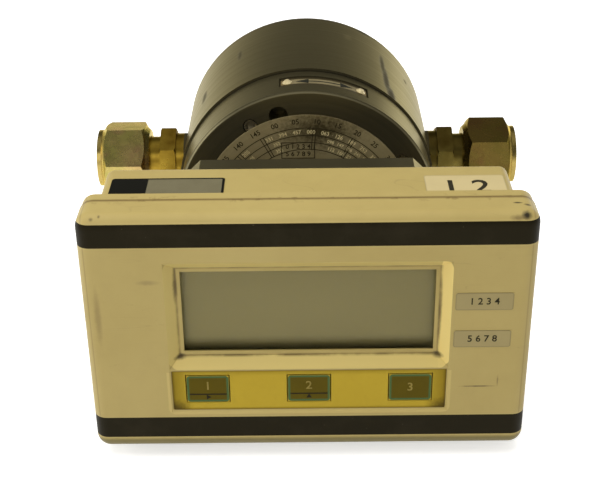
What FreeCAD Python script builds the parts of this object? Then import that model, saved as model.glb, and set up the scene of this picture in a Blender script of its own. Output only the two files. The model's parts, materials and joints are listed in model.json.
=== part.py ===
import FreeCAD, Part

import math
import os
import re

import Sketcher

# Turbine flow meter with a panel display on a neck.
# Frame: +X along the pipe from inlet to outlet, -Y out of the display, +Z up.
# The origin is on the surface the meter stands on, under the middle of its bounding box.

SIZES = {
    # display housing
    "bezel_width": 144.0,
    "bezel_height": 88.4,
    "bezel_depth": 12.3,
    "bezel_skin": 4.2,
    "bezel_top_corner": 4.8,
    "bezel_low_corner": 4.8,
    "bezel_roll": 4.5,
    "flange_depth": 4.9,
    "flange_inset": 0.3,
    "case_side_step": 2.7,
    "case_top_step": 9.0,
    "case_depth": 38.2,
    "case_wall": 2.5,
    "case_back": 3.0,
    "case_corner": 3.0,
    # window and liquid crystal display
    "view_width": 81.2,
    "view_height": 30.0,
    "view_rise": 8.0,
    "view_bevel": 3.4,
    "view_step": 1.5,
    "view_step_depth": 3.6,
    "lens_margin": 3.5,
    "lens_thick": 1.5,
    "lens_seal_thick": 1.0,
    "lens_seal_width": 2.0,
    "glass_thick": 2.8,
    "retainer_wall": 1.2,
    "zebra_width": 2.6,
    "board_gap": 2.7,
    "board_thick": 1.6,
    "board_screw_inset": 6.0,
    "post_dia": 6.4,
    "board_screw_dia": 2.5,
    "board_screw_len": 7.0,
    "board_head_dia": 4.6,
    "board_head_thick": 1.7,
    # keypad
    "pad_side_margin": 4.65,
    "pad_top_margin": 2.15,
    "pad_low_margin": 3.15,
    "pad_recess": 1.0,
    "pad_bevel": 0.8,
    "pad_thick": 0.5,
    "key_width": 13.9,
    "key_height": 10.3,
    "key_pitch": 33.3,
    "key_drop": 19.8,
    "key_proud": 0.15,
    "key_gap": 0.35,
    "key_flange": 1.5,
    "key_flange_thick": 1.0,
    "key_stem_dia": 5.0,
    "key_travel": 0.4,
    "key_play": 0.1,
    "switch_size": 6.0,
    "switch_deep": 4.0,
    "plunger_dia": 3.2,
    "plunger_len": 1.0,
    # printed strips and labels
    "strip_height": 8.0,
    "strip_thick": 0.3,
    "upper_strip_inset": 2.6,
    "lower_strip_inset": 5.3,
    "sticker_width": 18.4,
    "sticker_height": 6.3,
    "sticker_thick": 0.15,
    "sticker_margin": 7.0,
    "upper_sticker_rise": 13.2,
    "lower_sticker_drop": 0.8,
    "grey_label_width": 38.4,
    "grey_label_margin": 3.1,
    "white_label_width": 27.0,
    "white_label_margin": 2.6,
    "top_label_depth": 18.0,
    "top_label_setback": 9.4,
    # electronics behind the board
    "cell_dia": 14.5,
    "cell_len": 50.5,
    "cell_inset": 14.0,
    "holder_wall": 1.6,
    "terminal_width": 30.0,
    "terminal_height": 9.0,
    "terminal_deep": 12.0,
    "terminal_drop": 6.0,
    "chip_size": 14.0,
    "chip_thick": 1.7,
    "driver_chip_height": 7.0,
    "chip_side": 36.0,
    "chip_inset": 12.0,
    "capacitor_dia": 8.0,
    "capacitor_len": 11.0,
    # sockets of all cap screws, as shares of the shank's diameter and of the head's thickness
    "socket_across_share": 0.8,
    "socket_deep_share": 0.5,
    # seal and screws of the housing
    "seal_width": 1.8,
    "seal_depth": 1.2,
    "seal_inset": 1.6,
    "shell_screw_side": 12.0,
    "shell_screw_edge": 4.0,
    "shell_screw_dia": 3.0,
    "shell_screw_len": 11.0,
    "shell_head_dia": 5.5,
    "shell_head_thick": 2.2,
    # cable gland
    "gland_gap": 1.5,
    "gland_drop": 17.5,
    "gland_thread_dia": 16.0,
    "gland_bore": 8.0,
    "gland_across": 22.0,
    "gland_hex_len": 6.0,
    "gland_nose_dia": 15.0,
    "gland_nose_len": 8.0,
    "gland_seal_dia": 12.0,
    "gland_cap_gap": 1.0,
    "gland_cap_len": 10.0,
    "gland_lock_thick": 4.0,
    # adapter plate and neck
    "plate_width": 83.0,
    "plate_inset": 1.2,
    "plate_thick": 8.0,
    "plate_chamfer": 4.0,
    "plate_screw_inset": 8.0,
    "plate_screw_dia": 4.0,
    "plate_screw_len": 9.0,
    "plate_head_dia": 7.0,
    "plate_head_thick": 2.8,
    "neck_dia": 45.0,
    "neck_bore": 34.0,
    "neck_len": 24.8,
    "neck_spigot_dia": 40.0,
    "neck_spigot_len": 6.0,
    "neck_screw_dia": 3.0,
    "neck_screw_len": 12.0,
    "neck_head_dia": 5.0,
    "neck_head_thick": 3.0,
    # cover
    "cover_step": 0.9,
    "cover_len": 21.2,
    "cover_lip": 0.8,
    "seam_width": 1.0,
    "seam_depth": 1.6,
    "plug_len": 20.6,
    "ring_seat": 5.0,
    "ring_section": 2.8,
    "ring_slack": 0.1,
    "ring_groove": 3.4,
    "cover_bolt_circle_dia": 83.0,
    "cover_bolt_turn": 60.0,
    "cover_bolt_dia": 4.0,
    "cover_bolt_len": 30.0,
    "cover_head_dia": 4.8,
    "cover_head_thick": 4.0,
    "head_room": 0.4,
    "jack_hole_turn": 14.3,
    "jack_hole_dia": 7.0,
    "jack_hole_depth": 10.0,
    "rating_dia": 81.0,
    "rating_thick": 0.6,
    # meter body
    "body_dia": 101.0,
    "body_len": 60.6,
    "body_chamfer": 1.5,
    "seat_sink": 1.3,
    "seat_dia": 24.0,
    "foot_flat": 48.5,
    "pot_dia": 54.0,
    "pot_floor": 12.0,
    "pipe_setback": 30.0,
    "slide_fit": 0.1,
    "foot_hole_dia": 6.8,
    "foot_hole_depth": 12.0,
    "foot_hole_pitch": 36.0,
    # arrow plate
    "arrow_pocket_deep": 0.9,
    "arrow_pocket_width": 8.8,
    "arrow_plate_width": 8.0,
    "arrow_plate_thick": 0.5,
    "arrow_pocket_span": 39.6,
    "arrow_plate_span": 38.2,
    "arrow_plate_turn": 8.2,
    "arrow_plate_setback": 6.9,
    "arrow_rivet_span": 32.8,
    "rivet_dia": 3.7,
    "rivet_rise": 0.9,
    "rivet_depth": 2.5,
    # turbine
    "jet_wall": 4.8,
    "jet_bore": 9.0,
    "jet_slope": 35.0,
    "wheel_dia": 40.0,
    "web_thick": 3.0,
    "web_gap": 1.0,
    "hub_dia": 12.0,
    "vane_count": 10.0,
    "vane_thick": 1.6,
    "vane_len": 20.0,
    "vane_root": 3.0,
    "end_play": 0.4,
    "shaft_dia": 3.0,
    "shaft_play": 0.05,
    "bush_dia": 8.0,
    "bush_len": 4.0,
    "magnet_dia": 4.0,
    "magnet_len": 2.0,
    "magnet_circle_dia": 18.0,
    # pick-up
    "probe_dia": 8.0,
    "probe_wall": 2.5,
    "probe_tail": 4.5,
    "lock_across": 13.0,
    "lock_thick": 4.0,
    "lead_dia": 3.6,
    "lead_bend": 20.0,
    "lead_slope": 45.0,
    # pipe fittings
    "stud_dia": 16.6,
    "stud_len": 10.5,
    "stud_bore": 11.0,
    "stud_collar_dia": 20.0,
    "stud_collar_len": 3.3,
    "stud_seal_thick": 1.6,
    "stud_across": 22.0,
    "stud_hex_len": 6.4,
    "stud_bevel": 0.4,
    "stud_neck_dia": 17.4,
    "stud_neck_len": 8.1,
    "stud_head_dia": 20.2,
    "stud_head_len": 3.0,
    "cone_dia": 14.5,
    "cone_len": 2.5,
    "nut_across": 27.0,
    "nut_back": 3.3,
    "nut_bevel": 1.4,
    "nut_crown_dia": 26.0,
    "nut_taper_dia": 23.0,
    "nut_taper_len": 1.5,
    "nut_hex_len": 17.0,
    "nut_shoulder_len": 1.2,
    "nut_rim_len": 1.7,
    "nut_rim_dia": 23.5,
    "nut_thread_dia": 18.6,
    "nut_gap": 0.3,
}

STACK = (
    "bezel_depth",
    "flange_depth",
    "case_depth",
    "plate_thick",
    "neck_len",
    "cover_len",
    "body_len",
)

# angles by which the hexagons happen to be turned about the pipe axis, in degrees
STUD_TURN = {"inlet": 36.8, "outlet": 28.7}
NUT_TURN = {"inlet": 70.5, "outlet": 41.9}

ABOUT_Y = FreeCAD.Rotation(FreeCAD.Vector(1, 0, 0), -90)
ABOUT_X = FreeCAD.Rotation(FreeCAD.Vector(0, 1, 0), 90)
UPRIGHT = FreeCAD.Rotation()
FLATS_ASIDE = 30
# where the top lies, from the start of a rod's or a bar's circle
TOP_OF_ROD = 90
TOP_OF_BAR = 270

doc = FreeCAD.newDocument("FlowMeter")
sheet = doc.addObject("Spreadsheet::Sheet", "Sizes")
for row, (alias, number) in enumerate(SIZES.items(), start=1):
    sheet.set(f"A{row}", alias)
    sheet.set(f"B{row}", str(number))
    sheet.setAlias(f"B{row}", alias)
doc.recompute()

WORD = re.compile(r"[a-z_]+[a-z]")
nodes = {}


def size(alias):
    return float(sheet.get(alias))


def bound(text):
    """The text of a formula with each size's name pointing at its cell."""
    return WORD.sub(lambda m: f"Sizes.{m.group()}" if m.group() in SIZES else m.group(), str(text))


def behind(piece):
    """Y of the rear face of a piece of the stack, as a formula."""
    passed = STACK[: STACK.index(piece) + 1]
    return f"({' + '.join(passed)} - ({' + '.join(STACK)}) / 2)"


def station(piece):
    """The same Y as a number."""
    passed = STACK[: STACK.index(piece) + 1]
    return sum(size(name) for name in passed) - sum(size(name) for name in STACK) / 2


CASE_WIDE = "(bezel_width - 2 * case_side_step)"
CASE_HIGH = "(bezel_height - 2 * case_top_step)"
PLATE_HIGH = f"({CASE_HIGH} - 2 * plate_inset)"
BOARD_WIDE = f"({CASE_WIDE} - 2 * case_wall - 2 * board_gap)"
BOARD_HIGH = f"({CASE_HIGH} - 2 * case_wall - 2 * board_gap)"
PAD_WIDE = "(2 * (key_pitch + key_width / 2 + pad_side_margin))"
PAD_HIGH = "(key_height + pad_top_margin + pad_low_margin)"
PAD_DROP = "(key_drop + (pad_low_margin - pad_top_margin) / 2)"
COVER_DIA = "(body_dia - 2 * cover_step)"
SEAT_GAP = "(body_dia - 2 * seat_sink)"

FRONT = f"(-({' + '.join(STACK)}) / 2)"
SEAM = behind("bezel_depth")
CASE_FRONT = behind("flange_depth")
CASE_REAR = behind("case_depth")
PLATE_REAR = behind("plate_thick")
COVER_FRONT = behind("neck_len")
JOINT = behind("cover_len")
REAR = behind("body_len")
AXIS = "foot_flat"
PIPE = f"({REAR} - pipe_setback)"
INSIDE = f"({CASE_REAR} - case_back)"
PLUG_END = f"({JOINT} + plug_len)"
POT_END = f"({REAR} - pot_floor)"
BOARD = f"({FRONT} + bezel_skin + lens_thick + lens_seal_thick + glass_thick + zebra_width)"
BOARD_REAR = f"({BOARD} + board_thick)"
PAD_RISE = f"({AXIS} - {PAD_DROP})"
KEY_FRONT = f"({FRONT} + pad_recess - pad_thick - key_proud)"
KEY_SHOULDER = f"({FRONT} + bezel_skin + key_play)"
PROBE_RISE = f"({AXIS} + magnet_circle_dia / 2)"
TERMINAL_RISE = f"({AXIS} - terminal_drop)"


def place(item, x, y, z, turn=UPRIGHT):
    item.Placement = FreeCAD.Placement(FreeCAD.Vector(), turn)
    for axis, text in zip("xyz", (x, y, z)):
        item.setExpression(f"Placement.Base.{axis}", bound(text))
    return item


def block(name, wide, deep, high, x, y, z):
    """A box centred on x and z that starts at y."""
    item = doc.addObject("Part::Box", name)
    item.setExpression("Length", bound(wide))
    item.setExpression("Width", bound(deep))
    item.setExpression("Height", bound(high))
    return place(item, f"{x} - ({wide}) / 2", y, f"{z} - ({high}) / 2")


def rod(name, dia, length, x, y, z, turn=ABOUT_Y):
    """A cylinder that starts at its point and runs along its axis."""
    item = doc.addObject("Part::Cylinder", name)
    item.setExpression("Radius", bound(f"({dia}) / 2"))
    item.setExpression("Height", bound(length))
    return place(item, x, y, z, turn)


def cone(name, dia_a, dia_b, length, x, y, z, turn=ABOUT_Y):
    item = doc.addObject("Part::Cone", name)
    item.setExpression("Radius1", bound(f"({dia_a}) / 2"))
    item.setExpression("Radius2", bound(f"({dia_b}) / 2"))
    item.setExpression("Height", bound(length))
    return place(item, x, y, z, turn)


def hexagon(name, across, length, x, y, z, turn=ABOUT_Y, spin=0):
    """A hexagonal bar whose first corner is turned by spin degrees."""
    item = doc.addObject("Part::Prism", name)
    item.Polygon = 6
    item.setExpression("Circumradius", bound(f"({across}) / sqrt(3)"))
    item.setExpression("Height", bound(length))
    around = FreeCAD.Rotation(FreeCAD.Vector(0, 0, 1), spin)
    return place(item, x, y, z, turn.multiply(around))


def fuse(name, *items):
    joined = doc.addObject("Part::MultiFuse", name)
    joined.Shapes = list(items)
    joined.Refine = True
    return joined


def cut(name, base, *tools):
    tool = tools[0] if len(tools) == 1 else fuse(f"{name}_tools", *tools)
    left = doc.addObject("Part::Cut", name)
    left.Base = base
    left.Tool = tool
    left.Refine = True
    return left


def common(name, *items):
    shared = doc.addObject("Part::MultiCommon", name)
    shared.Shapes = list(items)
    return shared


def group(name, items):
    """Separate solids that share one node."""
    held = doc.addObject("Part::Compound", name)
    held.Links = list(items)
    return held


def node(name, item):
    item.Label = name
    nodes[name] = item
    return item


def tube(name, dia, bore, length, x, y, z, turn=ABOUT_Y):
    return cut(
        name,
        rod(f"{name}_outer", dia, length, x, y, z, turn),
        rod(f"{name}_bore", bore, length, x, y, z, turn),
    )


def y_screw(name, dia, length, head_dia, head_thick, x, y, z, rearward=True):
    """A cap screw along Y whose head's bearing face is at y."""
    deep = f"({head_thick} * socket_deep_share)"
    if rearward:
        head = rod(f"{name}_head", head_dia, head_thick, x, f"{y} - {head_thick}", z)
        socket_y = f"{y} - {head_thick}"
        shank = rod(f"{name}_shank", dia, length, x, y, z)
    else:
        head = rod(f"{name}_head", head_dia, head_thick, x, y, z)
        socket_y = f"{y} + {head_thick} - {deep}"
        shank = rod(f"{name}_shank", dia, length, x, f"{y} - {length}", z)
    socket = hexagon(f"{name}_socket", f"{dia} * socket_across_share", deep, x, socket_y, z)
    return cut(name, fuse(f"{name}_solid", head, shank), socket)


def four(x, z):
    """The four corners of a rectangle of half-width x and half-height z about the axis."""
    return [(f"{sx}{x}", f"({AXIS} {sz} {z})") for sx in ("", "-") for sz in ("+", "-")]


# ---- PartDesign helpers -----------------------------------------------------------------


def new_body(name, x, y, z):
    body = doc.addObject("PartDesign::Body", name)
    for axis, text in zip("xyz", (x, y, z)):
        body.setExpression(f"Placement.Base.{axis}", bound(text))
    return body


def plane_of(body, role):
    return next(item for item in body.Origin.OriginFeatures if item.Role == role)


def sketch_on(body, name, role, offset=None):
    sketch = body.newObject("Sketcher::SketchObject", name)
    sketch.AttachmentSupport = [(plane_of(body, role), "")]
    sketch.MapMode = "FlatFace"
    if offset is not None:
        sketch.setExpression("AttachmentOffset.Base.z", bound(offset))
    return sketch


def hold(sketch, kind, picks, text):
    """Add a dimension and bind it to a formula."""
    index = sketch.addConstraint(Sketcher.Constraint(kind, *picks, 1.0))
    sketch.setExpression(f"Constraints[{index}]", bound(text))


def polygon(sketch, points):
    """A closed outline whose corners are each given by two formulas."""
    first = sketch.GeometryCount
    count = len(points)
    guess = [
        FreeCAD.Vector(math.cos(2 * math.pi * i / count), math.sin(2 * math.pi * i / count), 0)
        for i in range(count)
    ]
    for i in range(count):
        sketch.addGeometry(Part.LineSegment(guess[i], guess[(i + 1) % count]), False)
    for i, (across, up) in enumerate(points):
        after = first + (i + 1) % count
        sketch.addConstraint(Sketcher.Constraint("Coincident", first + i, 2, after, 1))
        hold(sketch, "DistanceX", (-1, 1, first + i, 1), across)
        hold(sketch, "DistanceY", (-1, 1, first + i, 1), up)


def rectangle(sketch, wide, high, across="0", up="0"):
    left, right = f"{across} - ({wide}) / 2", f"{across} + ({wide}) / 2"
    low, top = f"{up} - ({high}) / 2", f"{up} + ({high}) / 2"
    polygon(sketch, [(left, low), (right, low), (right, top), (left, top)])


def circle(sketch, dia, across="0", up="0"):
    start = Part.Circle(FreeCAD.Vector(), FreeCAD.Vector(0, 0, 1), 1)
    index = sketch.addGeometry(start, False)
    hold(sketch, "Diameter", (index,), dia)
    hold(sketch, "DistanceX", (-1, 1, index, 3), across)
    hold(sketch, "DistanceY", (-1, 1, index, 3), up)


def shaped(body, name, kind, outlines, start, length, role="XZ_Plane"):
    """A pad or a pocket that runs into the body, away from the viewer, from start."""
    away = f"-({start})" if role == "XZ_Plane" else f"{start}"
    sketch = sketch_on(body, f"{name}_sketch", role, away)
    for draw, values in outlines:
        draw(sketch, *values)
    feature = body.newObject(f"PartDesign::{kind}", name)
    feature.Profile = (sketch, [""])
    feature.setExpression("Length", bound(length))
    feature.Reversed = kind == "Pad" and role == "XZ_Plane"
    return feature


def turned(name, axis, points, x, y, z):
    """A body turned about its own X or Y from (radius, distance) corners."""
    body = new_body(f"{name}_body", x, y, z)
    sketch = sketch_on(body, f"{name}_profile", "XY_Plane")
    corners = points if axis == "Y" else [(along, radius) for radius, along in points]
    polygon(sketch, corners)
    feature = body.newObject("PartDesign::Revolution", f"{name}_turning")
    feature.Profile = (sketch, [""])
    feature.ReferenceAxis = (sketch, ["V_Axis" if axis == "Y" else "H_Axis"])
    feature.Angle = 360
    return body


def dress(body, name, kind, amount, wanted):
    """Round or bevel the edges of the body that meet a test."""
    doc.recompute()
    base = body.Tip
    edges = [f"Edge{i}" for i, edge in enumerate(base.Shape.Edges, start=1) if wanted(edge)]
    feature = body.newObject(f"PartDesign::{kind}", name)
    feature.Base = (base, edges)
    feature.setExpression("Radius" if kind == "Fillet" else "Size", bound(amount))
    return feature


def near(a, b):
    return abs(a - b) < 0.01


def runs_along(edge, axis):
    """Whether an edge is a straight line along an axis."""
    if len(edge.Vertexes) != 2:
        return False
    span = edge.Vertexes[1].Point - edge.Vertexes[0].Point
    return near(abs(getattr(span, axis)), span.Length) and near(edge.Length, span.Length)


def sharp_corner(edge, box):
    """A front-to-back edge at a corner of a plain block that no fillet has reached yet."""
    return runs_along(edge, "y") and all(
        near(abs(vertex.X), box.XMax) and near(abs(vertex.Z), box.ZMax)
        for vertex in edge.Vertexes
    )


def round_corners(body, name, inset):
    """Round the top and the low corners of a block, each pair to its own radius."""
    doc.recompute()
    box = body.Tip.Shape.BoundBox
    for side, sign, radius in (("top", 1, "bezel_top_corner"), ("low", -1, "bezel_low_corner")):
        dress(body, f"{name}_{side}_corners", "Fillet", f"{radius} - {inset}",
              lambda edge, sign=sign: edge.CenterOfMass.z * sign > 0 and sharp_corner(edge, box))


def polar(dia, turn):
    """X and rise of a point on a circle, turned clockwise from the top."""
    return f"({dia}) / 2 * sin({turn})", f"({dia}) / 2 * cos({turn})"


def about_axis(rise):
    return f"{AXIS} + {rise}"


# ---- printed strips ---------------------------------------------------------------------


def bezel_block(name, inset):
    """The bezel's outer shape, set in from the front and the sides, with its edges rolled."""
    body = new_body(name, "0", f"{FRONT} + {inset}", AXIS)
    wide = f"bezel_width - 2 * {inset}"
    shaped(body, f"{name}_whole", "Pad", [(rectangle, (wide, "bezel_height"))],
           "0", f"bezel_depth - {inset}")
    round_corners(body, name, inset)
    dress(body, f"{name}_roll", "Fillet", f"bezel_roll - {inset}",
          lambda edge: near(edge.BoundBox.YMax, 0))
    return body


def strip(name, rise):
    """A printed strip across the front that wraps round both sides."""
    band = block(f"{name}_band", "bezel_width", "bezel_depth", "strip_height", "0", FRONT,
                 f"({AXIS} + {rise})")
    whole = common(f"{name}_whole", bezel_block(f"{name}_outside", "0"), band)
    return node(name, cut(f"{name}_wrap", whole, bezel_block(f"{name}_inside", "strip_thick")))


upper_strip = strip("upper_strip", "bezel_height / 2 - upper_strip_inset - strip_height / 2")
lower_strip = strip("lower_strip", "lower_strip_inset + strip_height / 2 - bezel_height / 2")

# ---- front bezel and what sits in it ----------------------------------------------------

KEYS = {"key_left": "-key_pitch", "key_middle": "0", "key_right": "key_pitch"}
CAVITY = (f"{CASE_WIDE} - 2 * case_wall", f"{CASE_HIGH} - 2 * case_wall")
KEY_HOLE = ("key_width + 2 * key_gap", "key_height + 2 * key_gap")
BOARD_SCREW_X = f"({BOARD_WIDE} / 2 - board_screw_inset)"
BOARD_SCREW_Z = f"({BOARD_HIGH} / 2 - board_screw_inset)"


def make_bezel():
    body = bezel_block("bezel", "0")
    shaped(body, "bezel_cavity", "Pocket", [(rectangle, CAVITY)],
           "bezel_skin", "bezel_depth - bezel_skin")
    step = ("view_width + 2 * view_step", "view_height + 2 * view_step", "0", "view_rise")
    shaped(body, "view_recess", "Pocket", [(rectangle, step)], "0", "view_step_depth")
    high = size("view_rise") + size("view_height") / 2 + size("view_step")
    low = size("view_rise") - size("view_height") / 2 - size("view_step")
    side = size("view_width") / 2 + size("view_step")

    def recess_rim(edge):
        point = edge.CenterOfMass
        level = near(edge.BoundBox.YMax, 0)
        across = near(point.z, high) or near(point.z, low)
        upright = near(abs(point.x), side)
        return level and (across or upright) and abs(point.x) < side + 0.1

    dress(body, "view_bevels", "Chamfer", "view_bevel", recess_rim)
    view = ("view_width", "view_height", "0", "view_rise")
    shaped(body, "view_opening", "Pocket", [(rectangle, view)], "0", "bezel_skin")
    pad = (PAD_WIDE, PAD_HIGH, "0", f"-{PAD_DROP}")
    shaped(body, "pad_recess", "Pocket", [(rectangle, pad)], "0", "pad_recess")
    inner_side = size("bezel_width") / 2 - 2 * size("bezel_roll")
    inner_low = 2 * size("bezel_roll") - size("bezel_height") / 2
    inner_high = low - size("view_bevel") - size("pad_bevel")

    def pad_rim(edge):
        point = edge.CenterOfMass
        inside = abs(point.x) < inner_side and inner_low < point.z < inner_high
        return near(edge.BoundBox.YMax, 0) and inside

    dress(body, "pad_bevels", "Chamfer", "pad_bevel", pad_rim)
    holes = [(rectangle, (*KEY_HOLE, across, "-key_drop")) for across in KEYS.values()]
    shaped(body, "key_holes", "Pocket", holes, "0", "bezel_skin")
    posts = [(circle, ("post_dia", f"{sx}{BOARD_SCREW_X}", f"{sz}{BOARD_SCREW_Z}"))
             for sx in ("", "-") for sz in ("", "-")]
    shaped(body, "board_posts", "Pad", posts, "bezel_skin", f"{BOARD} - {FRONT} - bezel_skin")
    return body


def make_shell_seal():
    seal_y = f"{SEAM} - seal_depth"
    inner = [f"{edge} + 2 * seal_inset" for edge in CAVITY]
    outer = [f"{edge} + 2 * seal_width" for edge in inner]
    return node("shell_seal", cut(
        "shell_seal_ring",
        block("shell_seal_outer", outer[0], "seal_depth", outer[1], "0", seal_y, AXIS),
        block("shell_seal_inner", inner[0], "seal_depth", inner[1], "0", seal_y, AXIS),
    ))


def make_screws(name, dia, length, head_dia, head_thick, spots, y, rearward):
    screws = [
        y_screw(f"{name}_{i}", dia, length, head_dia, head_thick, x, y, z, rearward)
        for i, (x, z) in enumerate(spots, start=1)
    ]
    return node(name, group(f"{name}_set", screws))


def holes(name, dia, spots, y, length):
    """Rods that clear or thread a set of screws."""
    return [rod(f"{name}_{i}", dia, length, x, y, z) for i, (x, z) in enumerate(spots, start=1)]


SHELL_SPOTS = four("(bezel_width / 2 - shell_screw_side)", "(bezel_height / 2 - shell_screw_edge)")
BOARD_SPOTS = four(BOARD_SCREW_X, BOARD_SCREW_Z)
SHELL_HEAD_Y = f"({CASE_FRONT} - shell_head_thick)"
FLANGE_LEFT = "(flange_depth - shell_head_thick)"

shell_seal = make_shell_seal()
node("front_bezel", cut(
    "bezel_finished",
    make_bezel(),
    upper_strip,
    lower_strip,
    shell_seal,
    *holes("shell_thread", "shell_screw_dia", SHELL_SPOTS, f"{SHELL_HEAD_Y} - shell_screw_len",
           "shell_screw_len"),
    *holes("post_thread", "board_screw_dia", BOARD_SPOTS, f"{BOARD_REAR} - board_screw_len",
           "board_screw_len"),
))
make_screws("shell_screws", "shell_screw_dia", "shell_screw_len", "shell_head_dia",
            "shell_head_thick", SHELL_SPOTS, SHELL_HEAD_Y, rearward=False)

LENS = ("view_width + 2 * lens_margin", "view_height + 2 * lens_margin")
LENS_Y = f"({FRONT} + bezel_skin)"
VIEW_RISE = f"({AXIS} + view_rise)"


def make_display():
    seal_y = f"{LENS_Y} + lens_thick"
    glass_y = f"{seal_y} + lens_seal_thick"
    node("window", block("window_pane", LENS[0], "lens_thick", LENS[1], "0", LENS_Y, VIEW_RISE))
    node("window_seal", cut(
        "window_seal_ring",
        block("window_seal_outer", LENS[0], "lens_seal_thick", LENS[1], "0", seal_y, VIEW_RISE),
        block("window_seal_inner", f"{LENS[0]} - 2 * lens_seal_width", "lens_seal_thick",
              f"{LENS[1]} - 2 * lens_seal_width", "0", seal_y, VIEW_RISE),
    ))
    node("display_glass",
         block("display_pane", LENS[0], "glass_thick", LENS[1], "0", glass_y, VIEW_RISE))
    depth = "glass_thick + zebra_width"
    node("display_frame", cut(
        "display_frame_ring",
        block("display_frame_outer", f"{LENS[0]} + 2 * retainer_wall", depth,
              f"{LENS[1]} + 2 * retainer_wall", "0", glass_y, VIEW_RISE),
        block("display_frame_inner", LENS[0], depth, LENS[1], "0", glass_y, VIEW_RISE),
    ))
    strips = [
        block(f"contact_strip_{i}", "view_width", "zebra_width", "zebra_width", "0",
              f"{glass_y} + glass_thick", f"{VIEW_RISE} {sign} (view_height / 2 + zebra_width / 2)")
        for i, sign in enumerate(("+", "-"), start=1)
    ]
    node("contact_strips", group("contact_strip_pair", strips))


make_display()


def make_keypad():
    sheet_y = f"{FRONT} + pad_recess - pad_thick"
    row = f"({AXIS} - key_drop)"
    windows = [
        block(f"{name}_window", KEY_HOLE[0], "pad_thick", KEY_HOLE[1], across, sheet_y, row)
        for name, across in KEYS.items()
    ]
    node("keypad_membrane", cut(
        "keypad_sheet",
        block("keypad_blank", PAD_WIDE, "pad_thick", PAD_HIGH, "0", sheet_y, PAD_RISE),
        *windows,
    ))
    switches = []
    switch_y = f"{BOARD} - switch_deep"
    stem_y = f"({KEY_SHOULDER} + key_flange_thick)"
    for name, across in KEYS.items():
        body = new_body(f"{name}_body", across, KEY_FRONT, row)
        shaped(body, f"{name}_cap", "Pad", [(rectangle, ("key_width", "key_height"))],
               "0", f"{KEY_SHOULDER} - {KEY_FRONT}")
        brim = ("key_width + 2 * key_flange", "key_height + 2 * key_flange")
        shaped(body, f"{name}_brim", "Pad", [(rectangle, brim)],
               f"{KEY_SHOULDER} - {KEY_FRONT}", "key_flange_thick")
        shaped(body, f"{name}_stem", "Pad", [(circle, ("key_stem_dia",))],
               f"{stem_y} - {KEY_FRONT}", f"{switch_y} - key_travel - key_play - {stem_y}")
        node(name, body)
        switches.append(fuse(
            f"{name}_switch",
            block(f"{name}_switch_base", "switch_size", "switch_deep - plunger_len",
                  "switch_size", across, f"{switch_y} + plunger_len", row),
            rod(f"{name}_plunger", "plunger_dia", "plunger_len", across, switch_y, row),
        ))
    node("key_switches", group("key_switch_set", switches))


make_keypad()

# ---- circuit board ----------------------------------------------------------------------


def make_board():
    node("main_board", cut(
        "board_drilled",
        block("board_blank", BOARD_WIDE, "board_thick", BOARD_HIGH, "0", BOARD, AXIS),
        *holes("board_hole", "board_screw_dia", BOARD_SPOTS, BOARD, "board_thick"),
    ))
    make_screws("board_screws", "board_screw_dia", "board_screw_len", "board_head_dia",
                "board_head_thick", BOARD_SPOTS, BOARD_REAR, rearward=False)
    low_row = f"({AXIS} - {BOARD_HIGH} / 2 + chip_inset)"
    chips = [
        block("processor", "chip_size", "chip_thick", "chip_size", "-chip_side", BOARD_REAR, low_row),
        block("driver_chip", "chip_size", "chip_thick", "driver_chip_height", "chip_side", BOARD_REAR,
              low_row),
        rod("reservoir", "capacitor_dia", "capacitor_len", "0", BOARD_REAR, low_row),
    ]
    node("board_components", group("board_component_set", chips))
    rise = f"({AXIS} + {BOARD_HIGH} / 2 - cell_inset)"
    node("battery_holder", cut(
        "holder_tray",
        block("holder_block", "cell_len + 2 * holder_wall", "cell_dia / 2 + holder_wall",
              "cell_dia + 2 * holder_wall", "0", BOARD_REAR, rise),
        rod("holder_trough", "cell_dia", "cell_len", "-cell_len / 2",
            f"{BOARD_REAR} + holder_wall + cell_dia / 2", rise, ABOUT_X),
    ))
    node("battery", rod("battery_cell", "cell_dia", "cell_len", "-cell_len / 2",
                        f"{BOARD_REAR} + holder_wall + cell_dia / 2", rise, ABOUT_X))
    node("terminal_block", block("terminal_body", "terminal_width", "terminal_deep",
                                 "terminal_height", "0", BOARD_REAR, TERMINAL_RISE))


make_board()

# ---- labels -----------------------------------------------------------------------------


def make_labels():
    face = f"{FRONT} - sticker_thick"
    for name, rise in (
        ("upper_unit_sticker", "upper_sticker_rise"),
        ("lower_unit_sticker", "-lower_sticker_drop"),
    ):
        node(name, block(f"{name}_film", "sticker_width", "sticker_thick", "sticker_height",
                         "(bezel_width / 2 - sticker_margin - sticker_width / 2)", face,
                         f"({AXIS} + {rise})"))
    top = f"({AXIS} + {CASE_HIGH} / 2 + sticker_thick / 2)"
    label_y = f"{CASE_REAR} - top_label_setback - top_label_depth"
    for name, sign in (("grey_label", "-"), ("white_label", "")):
        side = f"{sign}({CASE_WIDE} / 2 - {name}_margin - {name}_width / 2)"
        node(name, block(f"{name}_film", f"{name}_width", "top_label_depth", "sticker_thick", side,
                         label_y, top))


make_labels()

# ---- rear case, gland, adapter plate and neck -------------------------------------------

GLAND_X = "(plate_width / 2 + gland_gap + gland_across / 2)"
PLATE_SPOTS = four("(plate_width / 2 - plate_screw_inset)",
                   f"({PLATE_HIGH} / 2 - plate_screw_inset)")
NECK_TURNS = ("45", "135", "225", "315")


def neck_spots():
    circle_dia = "(neck_dia + neck_bore) / 2"
    spots = []
    for turn in NECK_TURNS:
        across, rise = polar(circle_dia, turn)
        spots.append((across, f"({about_axis(rise)})"))
    return spots


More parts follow.
